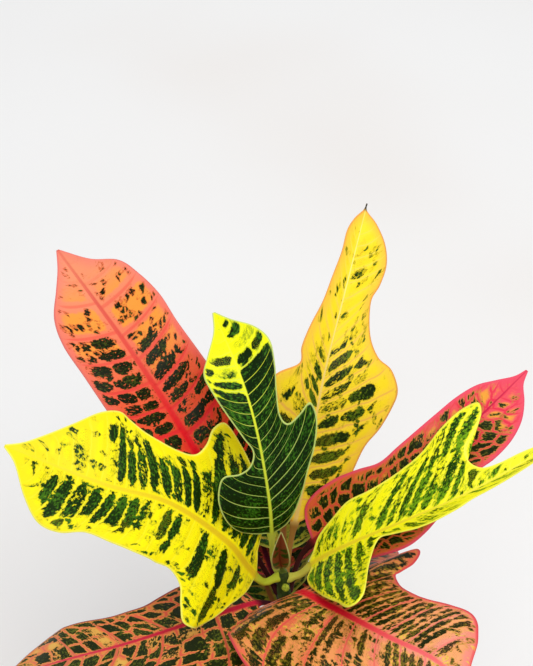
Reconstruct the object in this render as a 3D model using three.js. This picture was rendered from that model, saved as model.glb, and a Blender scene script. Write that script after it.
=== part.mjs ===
// Potted croton (Codiaeum variegatum, lobed leaf form) in a plain clay pot.
// Millimetres, +Z up. The origin is the centre of the pot's flat base and -Y is the front.
// One stem stands in a hole in the soil. Every leaf is one solid with its petiole, its
// midrib and its thin blade, and starts just clear of the stem's bark.
import * as THREE from 'three';

// ---- driving dimensions -----------------------------------------------------------------

const FIT_GAP = 0.35; // clearance kept between pieces that touch

const POT = {
  height: 142,
  baseRadius: 55,
  mouthRadius: 74, // outside, at the top of the tapered body under the rim band
  wall: 6,
  floor: 9,
  rimHeight: 24,
  rimProud: 5, // how far the rim band stands out from the body
  edge: 2, // rounding of the rim and the foot
  sides: 48,
};

const SOIL = {
  drop: 17, // how far the soil lies below the rim
  dome: 3, // how much higher the soil is round the stem
  sides: 48,
};

const STEM = {
  foot: 50, // the buried end
  top: 267,
  footRadius: 6.2,
  topRadius: 3.6,
  sway: 3, // bend of the free part, sideways
  sides: 12,
  rings: 20,
};

const BLADE = {
  thickness: 0.8,
  ribUnder: 1.5, // midrib below the blade, at the blade's base
  ribOver: 0.3,
  curlWidth: 90, // the across distance over which `curl` is spent
};

const PETIOLE = {
  radius: 1.6,
  swell: 0.7, // how much thicker the foot on the stem is
  standOff: 0.5, // from the bark, which leans a little under the flat foot
  rings: [0, 0.14, 0.45, 0.8], // as shares of the petiole's length
};

// A small bud on the stem below the top leaves. lean is its axis's angle from upright and
// the profile runs from its foot to its tip as pairs of radius and distance.
const SIDE_BUD = {
  turn: -78,
  height: 259,
  lean: 75,
  standOff: 0.8, // from the bark to the middle of its foot
  profile: [[0, 0], [1.5, 0], [2.4, 1.6], [2.2, 3.2], [1.1, 4.6], [0, 5]],
  sides: 8,
};

// ---- materials --------------------------------------------------------------------------

const clay = finish('#b8694a', 0.85);
const earth = finish('#3a2a20', 0.95);
const bark = finish('#7a7152', 0.8);
const paint = {
  coral: finish('#e8654f', 0.42),
  amber: finish('#efb832', 0.42),
  lemon: finish('#f2e416', 0.42),
  green: finish('#2f5a1e', 0.4),
  crimson: finish('#d33a4e', 0.42),
  salmon: finish('#ee7a54', 0.42),
  olive: finish('#6b7a2a', 0.45),
};

function finish(color, roughness) {
  return new THREE.MeshStandardMaterial({ color, roughness, metalness: 0 });
}

// ---- leaf outlines ----------------------------------------------------------------------
// A row is one lateral vein pair: [root, left along, left across, right along, right across].
// `root` is where the pair leaves the midrib and the rest is where each vein meets the
// margin, measured on the flat blade from its base. The first row is the petiole's end and
// the last one is the tip.

const OUTLINES = {
  // basal shoulders, then a long even strap with a drawn-out tip
  strap: [
    [0, 0, 3, 0, 3], [4, 5, 14, 5, 15], [12, 14, 28, 16, 29], [24, 32, 40, 36, 39],
    [38, 50, 38, 54, 39], [54, 66, 33, 70, 36], [76, 90, 33, 92, 35], [98, 112, 33, 112, 34],
    [120, 134, 33, 134, 33], [142, 156, 33, 154, 34], [162, 174, 28, 172, 32],
    [182, 190, 17, 188, 27], [200, 203, 8, 199, 13], [216, 216, 0.8, 216, 0.8],
  ],
  // broad lower half, a narrow neck, then a long slender end lobe that ends in an awn
  necked: [
    [0, 0, 3, 0, 3], [5, 8, 8, 8, 12], [14, 22, 17, 22, 25], [26, 38, 27, 40, 29],
    [37, 55, 35, 55, 33], [47, 69, 38, 68, 40], [56, 82, 38, 84, 45], [65, 93, 31, 98, 46],
    [74, 101, 18, 111, 39], [86, 110, 19, 117, 29], [102, 123, 17, 130, 21],
    [120, 140, 13, 151, 17], [140, 158, 11, 165, 20], [160, 178, 9, 181, 21],
    [180, 195, 9, 196, 17], [200, 207, 6, 209, 9], [217, 217, 1.2, 217, 1.2],
    [222.5, 222.5, 0.4, 222.5, 0.4],
  ],
  // two large basal lobes like an arrowhead, then a broad blade
  arrow: [
    [0, 0, 3, 0, 3], [3, 3.5, 14, 10, 14], [8, 10, 25.5, 22, 28], [15, 16, 42, 36, 42],
    [24, 25, 53, 52, 55], [33, 41.5, 58.5, 64, 62], [40, 49, 51, 70, 54], [47, 55, 41, 71, 42],
    [55, 66, 36, 75, 33], [66, 80, 37, 84, 31], [80, 96, 36, 98, 35], [95, 110, 33, 112, 41],
    [108, 122, 31, 124, 44], [122, 134, 36, 136, 39], [136, 146, 35, 148, 27],
    [152, 158, 24, 160, 15], [168, 170, 8, 170, 6], [179, 179, 0.8, 179, 0.8],
  ],
  // basal lobes that end in fingers, a tight waist, then an oval end
  fiddle: [
    [0, 0, 2, 0, 2], [3, 3, 10, 8, 9], [8, 10, 20, 18, 14], [15, 22, 27, 30, 19],
    [24, 36, 30, 46, 25], [33, 47, 28, 60, 31], [40, 52, 24, 74, 35], [46, 51, 15, 82, 33],
    [52, 54, 8, 77, 25], [60, 62, 5, 74, 18], [70, 72, 9, 80, 15], [84, 88, 15, 92, 17],
    [98, 102, 19, 106, 21], [112, 113, 20, 118, 23], [125, 122, 14, 128, 18],
    [136, 134, 5, 137, 8], [145, 145, 0.8, 145, 0.8],
  ],
  // one broad basal lobe on the right, the left side almost even
  spear: [
    [0, 0, 3, 0, 3], [4, 4, 13, 4, 16], [10, 10, 20, 16, 26], [20, 22, 22.5, 36, 33],
    [32, 36, 21.5, 54, 37], [46, 50, 18.5, 66, 36], [60, 64, 15, 78, 32],
    [76, 80, 16.5, 92, 27], [92, 98, 18, 106, 24], [108, 114, 18.5, 118, 25],
    [124, 130, 18, 132, 24],
    [140, 146, 15, 146, 20], [154, 158, 9, 158, 13], [168, 169, 3, 168, 5],
    [178, 178, 0.8, 178, 0.8],
  ],
  // long basal lobe on the right, a high finger lobe on the left, then a thin end
  antler: [
    [0, 0, 3, 0, 3], [3, 5, 6, -5, 7], [8, 14, 13, -1, 17], [15, 27, 19, 12, 29],
    [23, 38, 24, 27, 45], [31, 50, 25, 43, 63.5], [37, 58, 26, 52, 60], [43, 68, 28, 50, 30],
    [50, 80, 31, 52, 8], [58, 91, 35, 62, 9], [68, 104, 40, 78, 15], [78, 119, 45, 90, 17],
    [87, 134, 49, 102, 14], [93, 145, 48.5, 108, 11], [98, 142, 40, 113, 10],
    [102, 131, 32, 118, 10], [106, 121, 25, 123, 10], [111, 119, 17, 129, 10],
    [118, 124, 10, 136, 10], [130, 134, 7.5, 146, 9.5], [146, 148, 6.5, 157, 8],
    [162, 163, 4, 167, 5],
    [176, 176, 0.8, 176, 0.8],
  ],
  // wide basal lobes swept outwards, a shallow waist, then a broad end
  wide: [
    [0, 0, 3, 0, 3], [3, 7, 15, -7, 15], [8, 16, 33, -12.5, 27], [14, 27, 52, -5, 36],
    [21, 39, 69, 7, 51], [28, 48, 58, 26, 59], [34, 50, 46, 43, 63], [40, 51, 41, 58, 63],
    [50, 64, 34.5, 73, 58], [64, 78, 32, 90, 51], [78, 94, 32, 102, 47],
    [92, 108, 34.5, 112, 43], [106, 118, 35.5, 123, 38], [120, 124.5, 26, 133, 27],
    [134, 133, 10, 140, 13],
    [149, 149, 0.8, 149, 0.8],
  ],
  // low rounded basal lobes, a slight waist, then an even tapering blade
  lyre: [
    [0, 0, 3, 0, 3], [4, 4, 14, 4, 12], [10, 12, 30, 14, 22], [18, 24, 42, 26, 29],
    [28, 38, 50, 39, 31], [38, 51, 48, 50, 29], [47, 62, 40, 58, 27], [57, 72, 35, 70, 24.5],
    [68, 83, 33, 84, 25.5], [82, 97, 34, 98, 27], [98, 112, 35, 114, 29.5],
    [114, 128, 33, 130, 31], [132, 146, 27, 150, 32], [150, 160, 17, 162, 23],
    [166, 169, 6, 171, 9],
    [178, 178, 0.8, 178, 0.8],
  ],
  // a young leaf that has not opened
  young: [
    [0, 0, 1.8, 0, 1.8], [4, 5, 6, 5, 6], [12, 14, 9.5, 14, 9.5], [20, 22, 9.5, 22, 9.5],
    [28, 29, 6, 29, 6], [35, 35, 0.8, 35, 0.8],
  ],
};

// ---- upper leaves -----------------------------------------------------------------------
// turn and height: where the petiole leaves the stem (degrees round from +X, millimetres).
// path: points of the midrib's line after that, the last one the leaf's tip.
// stalk: the petiole's radius, where it isn't the usual one.
// face: the way the upper side looks, at the blade's base and at its tip.
// fold: how far each half is raised from flat, degrees, left then right; curl bends the
// halves back down towards the margin; ripple is the height of the margin's waves.

const UPPER_LEAVES = [
  {
    name: 'leaf_01', outline: 'strap', color: 'coral', turn: 168, height: 250, petiole: 38,
    path: [[-16, 9, 271], [-39, 24, 312], [-67, 50, 350], [-94, 74, 383], [-137, 128, 412]],
    face: [[0.25, -0.75, 0.75], [0.25, -0.6, 0.75]], fold: [12, 12], curl: -14, ripple: 1.2,
  },
  {
    name: 'leaf_02', outline: 'necked', color: 'amber', turn: 66, height: 256, petiole: 36,
    path: [[5, 21, 272], [14, 41, 314], [23, 60, 363], [35, 96, 395], [52.5, 164, 422.5]],
    face: [[0.3, -0.8, 0.6], [0.35, -0.6, 0.8]], fold: [14, 14], curl: -10, ripple: 1,
  },
  {
    name: 'leaf_03', outline: 'arrow', color: 'lemon', turn: 200, height: 263, petiole: 19,
    stalk: 2.3,
    path: [
      [-12, -6, 264], [-21, -9, 279], [-34, -11, 303],
      [-65, -12, 333], [-103, -16, 352], [-156, -7, 372],
    ],
    face: [[0.35, -0.45, 0.85], [0.2, -0.5, 0.85]], fold: [10, 10], curl: -12, ripple: 1.2,
  },
  {
    name: 'leaf_04', outline: 'fiddle', color: 'green', turn: 118, height: 260, petiole: 40,
    path: [[-6, 6, 270], [-8, -1, 322], [-15, 8, 368], [-25, 26, 397], [-40, 53, 420]],
    face: [[0.1, -0.85, 0.5], [0.1, -0.8, 0.6]], fold: [14, 14], curl: -10, ripple: 1,
  },
  {
    name: 'leaf_05', outline: 'spear', color: 'crimson', turn: 34, height: 250, petiole: 34,
    path: [[13, 15, 269], [40, 18, 298], [74, 21, 327], [106, 36, 346], [147, 77, 359]],
    face: [[-0.2, -0.6, 0.8], [-0.2, -0.6, 0.8]], fold: [10, 10], curl: -14, ripple: 1,
  },
  {
    name: 'leaf_06', outline: 'antler', color: 'lemon', turn: -4, height: 262, petiole: 18,
    stalk: 2.3,
    path: [
      [11, -1, 266], [20, -2, 277], [39, -6, 295],
      [78, -10, 322], [112, -6, 340], [163, 15, 360],
    ],
    face: [[0, -0.45, 0.9], [0, 0.2, 1]], fold: [20, 28], curl: 0, ripple: 0.8,
  },
  {
    name: 'leaf_07', outline: 'wide', color: 'salmon', turn: -48, height: 248, petiole: 16,
    path: [[11, -16, 265], [27, -40, 278], [56, -73, 290], [85, -94, 290], [101, -112, 276]],
    face: [[0, -0.15, 1], [0.1, -0.4, 0.9]], fold: [5, 11], curl: -14, ripple: 1.5,
  },
  {
    name: 'leaf_08', outline: 'lyre', color: 'crimson', turn: -142, height: 240, petiole: 16,
    path: [[-15, -7, 247], [-43, -24, 253], [-88, -48, 257], [-128, -57, 251], [-165, -57, 235]],
    face: [[0.1, 0, 1], [0, 0.25, 0.95]], fold: [4, 4], curl: -8, ripple: 1.5,
  },
  {
    name: 'bud_leaf', outline: 'young', color: 'green', turn: 0, height: 268, petiole: 8,
    path: [[-1.5, -3.5, 276], [-2.5, -7, 291], [-1.5, -9, 308]],
    face: [[0.1, -1, 0.2], [0.1, -1, 0.1]], fold: [56, 56], curl: 0, ripple: 0,
  },
];

// ---- lower leaves -----------------------------------------------------------------------
// Older leaves further down the stem. reach is how far the tip lies from the stem, lift and
// drop are the rise and the sag of the midrib over that reach, sway bends it sideways and
// roll turns the blade about its midrib.

const LOWER_LEAVES = [
  { outline: 'lyre', color: 'olive', turn: 84, height: 244, reach: 165, lift: 35, drop: 60 },
  { outline: 'arrow', color: 'crimson', turn: 204, height: 223, reach: 170, lift: 6, drop: 100 },
  { outline: 'spear', color: 'olive', turn: -32, height: 234, reach: 165, lift: 25, drop: 85 },
  { outline: 'strap', color: 'crimson', turn: 112, height: 226, reach: 175, lift: 25, drop: 75 },
  { outline: 'wide', color: 'olive', turn: 252, height: 220, reach: 150, lift: 20, drop: 70 },
  { outline: 'lyre', color: 'crimson', turn: 22, height: 213, reach: 140, lift: 12, drop: 125 },
  { outline: 'necked', color: 'olive', turn: 98, height: 204, reach: 170, lift: 3, drop: 70 },
  { outline: 'arrow', color: 'olive', turn: -66, height: 200, reach: 160, lift: 14, drop: 80 },
  { outline: 'spear', color: 'crimson', turn: 62, height: 194, reach: 150, lift: 12, drop: 50 },
  { outline: 'lyre', color: 'olive', turn: 226, height: 187, reach: 150, lift: 8, drop: 85 },
  { outline: 'strap', color: 'crimson', turn: -12, height: 181, reach: 150, lift: 5, drop: 90 },
  { outline: 'spear', color: 'olive', turn: 158, height: 175, reach: 145, lift: 10, drop: 85 },
];

const LOWER = {
  petiole: 26,
  steps: [0.16, 0.36, 0.58, 0.8, 1], // where the midrib's points lie along the reach
  sway: 7,
  roll: 6, // degrees, to either side in turn
  fold: 9,
  curl: -14,
  ripple: 1.5,
};

const WAVE = {
  count: 3, // waves along the margin
  offset: 1.3, // radians between the two margins
  halfWidth: 45, // the across distance at which a wave has its full height
  step: 1.7, // radians from one leaf to the next
};

// ---- building ---------------------------------------------------------------------------

const DEGREE = Math.PI / 180;
const UP = new THREE.Vector3(0, 0, 1);

// A closed solid through rings that all have the same number of points, with flat ends.
// Each ring runs counter-clockwise when it is looked at from the last ring.
function loft(rings) {
  const count = rings[0].length;
  const positions = rings.flat().flatMap((point) => [point.x, point.y, point.z]);
  const index = [];
  for (let ring = 0; ring + 1 < rings.length; ring += 1) {
    for (let side = 0; side < count; side += 1) {
      const a = ring * count + side;
      const b = ring * count + ((side + 1) % count);
      index.push(a, b, b + count, a, b + count, a + count);
    }
  }
  const last = (rings.length - 1) * count;
  for (let side = 1; side + 1 < count; side += 1) {
    index.push(0, side + 1, side);
    index.push(last, last + side, last + side + 1);
  }
  const geometry = new THREE.BufferGeometry();
  geometry.setAttribute('position', new THREE.Float32BufferAttribute(positions, 3));
  geometry.setIndex(index);
  return geometry;
}

function mesh(name, geometry, material) {
  const piece = new THREE.Mesh(geometry, material);
  piece.name = name;
  return piece;
}

// A turned solid: the profile of [radius, height] pairs starts and ends on the axis or
// closes on itself.
function turned(profile, sides) {
  const points = profile.map(([radius, height]) => new THREE.Vector2(radius, height));
  return new THREE.LatheGeometry(points, sides).rotateX(90 * DEGREE);
}

function makePot() {
  const { height, baseRadius, mouthRadius, wall, floor, rimHeight, rimProud, edge } = POT;
  const rimBottom = height - rimHeight;
  const rimRadius = mouthRadius + rimProud;
  const innerTop = rimRadius - wall;
  const innerFoot = baseRadius - wall;
  return turned([
    [0, 0],
    [baseRadius - edge, 0],
    [baseRadius, edge],
    [mouthRadius, rimBottom],
    [rimRadius - edge, rimBottom],
    [rimRadius, rimBottom + edge],
    [rimRadius, height - edge],
    [rimRadius - edge, height],
    [innerTop + edge, height],
    [innerTop, height - edge],
    [innerTop - rimProud, rimBottom - wall],
    [innerFoot, floor + edge],
    [innerFoot - edge, floor],
    [0, floor],
  ], POT.sides);
}

// The soil fills the pot and has a plain hole, closed below, for the stem.
function makeSoil() {
  const { baseRadius, mouthRadius, wall, floor, rimHeight, rimProud, height, edge } = POT;
  const top = height - SOIL.drop;
  const shoulder = height - rimHeight - wall;
  const inset = wall + FIT_GAP;
  const topRadius = mouthRadius + rimProud - inset
    - rimProud * (height - edge - top) / (height - edge - shoulder);
  const footRadius = baseRadius - inset;
  const hole = stemRadius(top) + FIT_GAP;
  return turned([
    [0, floor + FIT_GAP],
    [footRadius - edge, floor + FIT_GAP],
    [footRadius, floor + FIT_GAP + edge],
    [mouthRadius - inset, shoulder],
    [topRadius, top],
    [topRadius * 0.5, top + SOIL.dome * 0.8],
    [hole + 1, top + SOIL.dome],
    [hole, top + SOIL.dome - 1],
    [hole, STEM.foot - FIT_GAP],
    [0, STEM.foot - FIT_GAP],
  ], SOIL.sides);
}

function stemRadius(z) {
  const share = Math.max(0, (z - POT.height) / (STEM.top - POT.height));
  return THREE.MathUtils.lerp(STEM.footRadius, STEM.topRadius, share);
}

// The stem is straight in the soil and sways gently above it.
function stemCentre(z) {
  const share = Math.max(0, (z - POT.height) / (STEM.top - POT.height));
  return new THREE.Vector3(STEM.sway * Math.sin(Math.PI * share) ** 2, 0, z);
}

function makeStem() {
  const rings = [];
  for (let ring = 0; ring < STEM.rings; ring += 1) {
    const z = THREE.MathUtils.lerp(STEM.foot, STEM.top, ring / (STEM.rings - 1));
    const centre = stemCentre(z);
    const radius = stemRadius(z);
    const points = [];
    for (let side = 0; side < STEM.sides; side += 1) {
      const angle = 2 * Math.PI * side / STEM.sides;
      points.push(new THREE.Vector3(Math.cos(angle), Math.sin(angle), 0)
        .multiplyScalar(radius).add(centre));
    }
    rings.push(points);
  }
  return loft(rings);
}

function outward(turn) {
  return new THREE.Vector3(Math.cos(turn * DEGREE), Math.sin(turn * DEGREE), 0);
}

function makeSideBud() {
  const { turn, height, lean, standOff, profile, sides } = SIDE_BUD;
  const foot = stemCentre(height)
    .addScaledVector(outward(turn), stemRadius(height) + standOff);
  return turned(profile, sides).rotateY(lean * DEGREE).rotateZ(turn * DEGREE)
    .translate(...foot.toArray());
}

// The petiole's foot, a flat disc beside the bark. The youngest leaf stands on the
// stem's end instead.
function petioleFoot({ turn, height }) {
  const onEnd = height > STEM.top;
  const along = onEnd ? UP : outward(turn);
  const up = onEnd ? new THREE.Vector3(0, -1, 0) : UP;
  const centre = onEnd
    ? stemCentre(STEM.top).addScaledVector(UP, FIT_GAP)
    : stemCentre(height).addScaledVector(along, stemRadius(height) + PETIOLE.standOff);
  return { centre, up, left: new THREE.Vector3().crossVectors(up, along) };
}

// The path of a lower leaf: out from the stem, over its crest and down to the tip.
function lowerPath(leaf, index) {
  const out = outward(leaf.turn);
  const left = new THREE.Vector3().crossVectors(UP, out);
  const side = index % 2 ? -1 : 1;
  const foot = petioleFoot(leaf).centre;
  return LOWER.steps.map((step) => {
    const point = foot.clone().addScaledVector(out, leaf.reach * step);
    point.addScaledVector(left, side * LOWER.sway * Math.sin(Math.PI * step));
    const rise = Math.sin(0.5 * Math.PI * Math.min(1, 2 * step));
    point.z += leaf.lift * rise - leaf.drop * step ** 2;
    return point.toArray();
  });
}

function lowerLeaf(leaf, index) {
  const side = index % 2 ? -1 : 1;
  const left = new THREE.Vector3().crossVectors(UP, outward(leaf.turn));
  const roll = side * LOWER.roll * DEGREE;
  const face = UP.clone().addScaledVector(left, Math.sin(roll)).toArray();
  return {
    ...leaf,
    name: `leaf_${String(index + 9).padStart(2, '0')}`,
    mirrored: index % 2 === 1,
    petiole: LOWER.petiole,
    path: lowerPath(leaf, index),
    face: [face, face],
    fold: [LOWER.fold, LOWER.fold],
    curl: LOWER.curl,
    ripple: LOWER.ripple,
  };
}

// The leaf's midrib line, and the blade as a surface over it: at(x, y) is the point x from
// the blade's base along the midrib and y to its left, both measured on the flat blade.
function bladeSurface(leaf, phase) {
  const points = leaf.path.map((point) => new THREE.Vector3(...point));
  const knots = [petioleFoot(leaf).centre, ...points];
  const line = new THREE.CatmullRomCurve3(knots, false, 'catmullrom', 0.5);
  const length = line.getLength();
  const blade = length - leaf.petiole;
  const [faceBase, faceTip] = leaf.face.map((face) => new THREE.Vector3(...face));

  function frame(s) {
    const share = THREE.MathUtils.clamp(s / length, 0, 1);
    const along = line.getTangentAt(share);
    const centre = line.getPointAt(share);
    const opening = THREE.MathUtils.clamp((s - leaf.petiole) / blade, 0, 1);
    const up = faceBase.clone().lerp(faceTip, opening);
    up.addScaledVector(along, -up.dot(along)).normalize();
    return { centre, along, up, left: new THREE.Vector3().crossVectors(up, along) };
  }

  function at(x, y) {
    const s = THREE.MathUtils.clamp(x, 0, blade) + leaf.petiole;
    const { centre, along, up, left } = frame(s);
    const across = Math.abs(y);
    const tilt = (leaf.fold[y < 0 ? 1 : 0] + leaf.curl * across / BLADE.curlWidth) * DEGREE;
    const turns = WAVE.count * x / blade;
    const wave = Math.sin(2 * Math.PI * turns + phase + (y < 0 ? WAVE.offset : 0));
    const lift = across * Math.sin(tilt) + leaf.ripple * wave * (across / WAVE.halfWidth) ** 2;
    return centre.addScaledVector(along, x + leaf.petiole - s)
      .addScaledVector(left, Math.sign(y) * across * Math.cos(tilt))
      .addScaledVector(up, lift);
  }

  // the direction that the upper side faces at (x, y)
  function normal(x, y) {
    if (y === 0) {
      return frame(THREE.MathUtils.clamp(x, 0, blade) + leaf.petiole).up;
    }
    const side = Math.sign(y);
    const forward = at(x + 1, y).sub(at(x - 1, y));
    const sideways = at(x, y + side).sub(at(x, y)).multiplyScalar(side);
    return forward.cross(sideways).normalize();
  }

  return { at, normal, frame, blade };
}

// One ring of the petiole, round, with as many points as a blade ring has.
function petioleRing({ centre, up, left }, radius) {
  const points = [];
  for (let side = 0; side < 10; side += 1) {
    const angle = (18 + 36 * side) * DEGREE;
    points.push(centre.clone()
      .addScaledVector(left, radius * Math.cos(angle))
      .addScaledVector(up, radius * Math.sin(angle)));
  }
  return points;
}

// One ring of the blade along a pair of lateral veins: over the top from the left margin to
// the right one, and back underneath.
function bladeRing(surface, row, stretch) {
  const [root, leftAlong, leftAcross, rightAlong, rightAcross] = row;
  const share = 1 - root * stretch / surface.blade;
  const stops = [1, 0.5, 0, -0.5, -1].map((v) => {
    const along = v < 0 ? rightAlong : leftAlong;
    const across = v < 0 ? rightAcross : leftAcross;
    const x = (root + (along - root) * Math.abs(v)) * stretch;
    const y = across * v;
    return { rib: v === 0 ? share : 0, centre: surface.at(x, y), normal: surface.normal(x, y) };
  });
  const over = stops.map(({ rib, centre, normal }) => centre.clone()
    .addScaledVector(normal, BLADE.thickness / 2 + BLADE.ribOver * rib));
  const under = stops.map(({ rib, centre, normal }) => centre.clone()
    .addScaledVector(normal, -BLADE.thickness / 2 - BLADE.ribUnder * rib));
  return [...over, ...under.reverse()];
}

// The outline seen in a mirror, with left and right changed over.
function mirroredRow([root, leftAlong, leftAcross, rightAlong, rightAcross]) {
  return [root, rightAlong, rightAcross, leftAlong, leftAcross];
}

function makeLeaf(leaf, index) {
  const surface = bladeSurface(leaf, index * WAVE.step);
  const radius = leaf.stalk ?? PETIOLE.radius;
  const rings = PETIOLE.rings.map((share, step) => (step
    ? petioleRing(surface.frame(share * leaf.petiole), radius)
    : petioleRing(petioleFoot(leaf), radius + PETIOLE.swell)));
  const outline = OUTLINES[leaf.outline];
  const rows = leaf.mirrored ? outline.map(mirroredRow) : outline;
  const stretch = surface.blade / rows.at(-1)[0];
  rows.forEach((row) => rings.push(bladeRing(surface, row, stretch)));
  return loft(rings);
}

// ---- the plant --------------------------------------------------------------------------

const croton = new THREE.Group();
croton.add(mesh('pot', makePot(), clay));
croton.add(mesh('soil', makeSoil(), earth));
croton.add(mesh('stem', makeStem(), bark));
croton.add(mesh('side_bud', makeSideBud(), paint.green));
[...UPPER_LEAVES, ...LOWER_LEAVES.map(lowerLeaf)].forEach((leaf, index) => {
  croton.add(mesh(leaf.name, makeLeaf(leaf, index), paint[leaf.color]));
});

export default croton;
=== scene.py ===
# A potted croton: large lobed leaves, variegated in yellow, crimson and dark green, on one
# stem in a plain clay pot. Leaves are laid out in millimetres and built in metres.
import math
import random

import bmesh
import bpy
import numpy as np
from mathutils import Matrix, Vector, noise


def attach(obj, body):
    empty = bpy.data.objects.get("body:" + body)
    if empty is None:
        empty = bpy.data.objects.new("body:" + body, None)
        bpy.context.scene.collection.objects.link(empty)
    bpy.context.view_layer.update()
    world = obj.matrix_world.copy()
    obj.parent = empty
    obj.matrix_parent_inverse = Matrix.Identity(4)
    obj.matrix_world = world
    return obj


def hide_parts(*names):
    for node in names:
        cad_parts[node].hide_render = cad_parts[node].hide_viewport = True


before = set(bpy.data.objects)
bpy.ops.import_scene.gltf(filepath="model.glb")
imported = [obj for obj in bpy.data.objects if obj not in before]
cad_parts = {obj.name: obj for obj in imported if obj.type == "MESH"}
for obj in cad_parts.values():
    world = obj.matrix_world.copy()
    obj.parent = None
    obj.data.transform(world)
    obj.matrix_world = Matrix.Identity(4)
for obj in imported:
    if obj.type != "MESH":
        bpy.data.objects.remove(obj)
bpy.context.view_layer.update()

MM = 0.001

# ---- the plant's measures, in millimetres, as in the part's own source ----------------------

POT_HEIGHT = 142
POT_BASE_RADIUS = 55
POT_MOUTH_RADIUS = 74
POT_WALL = 6
POT_FLOOR = 9
RIM_HEIGHT = 24
RIM_PROUD = 5

SOIL_DROP = 17
SOIL_DOME = 3

STEM_FOOT = 50
STEM_TOP = 267
STEM_FOOT_RADIUS = 6.2
STEM_TOP_RADIUS = 3.6
STEM_SWAY = 3
STEM_END_LIFT = 0.35

BLADE_THICKNESS = 0.8
RIB_UNDER = 1.5
RIB_OVER = 0.45
CURL_WIDTH = 90
WAVE_COUNT = 3
WAVE_OFFSET = 1.3
WAVE_HALF_WIDTH = 45
WAVE_STEP = 1.7

PETIOLE_RADIUS = 1.6
PETIOLE_SWELL = 0.7
PETIOLE_STAND_OFF = 0.5

# the small bud on the stem: radius and distance from its foot along its axis
SIDE_BUD_TURN = -78
SIDE_BUD_HEIGHT = 259
SIDE_BUD_LEAN = 75
SIDE_BUD_STAND_OFF = 0.8
SIDE_BUD_PROFILE = [(0, 0), (1.5, 0), (2.4, 1.6), (2.2, 3.2), (1.1, 4.6), (0, 5)]

# ---- leaf outlines --------------------------------------------------------------------------
# A row is one pair of lateral veins: where it leaves the midrib, then where the left and the
# right vein meet the margin, each as along and across on the flat blade.

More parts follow.
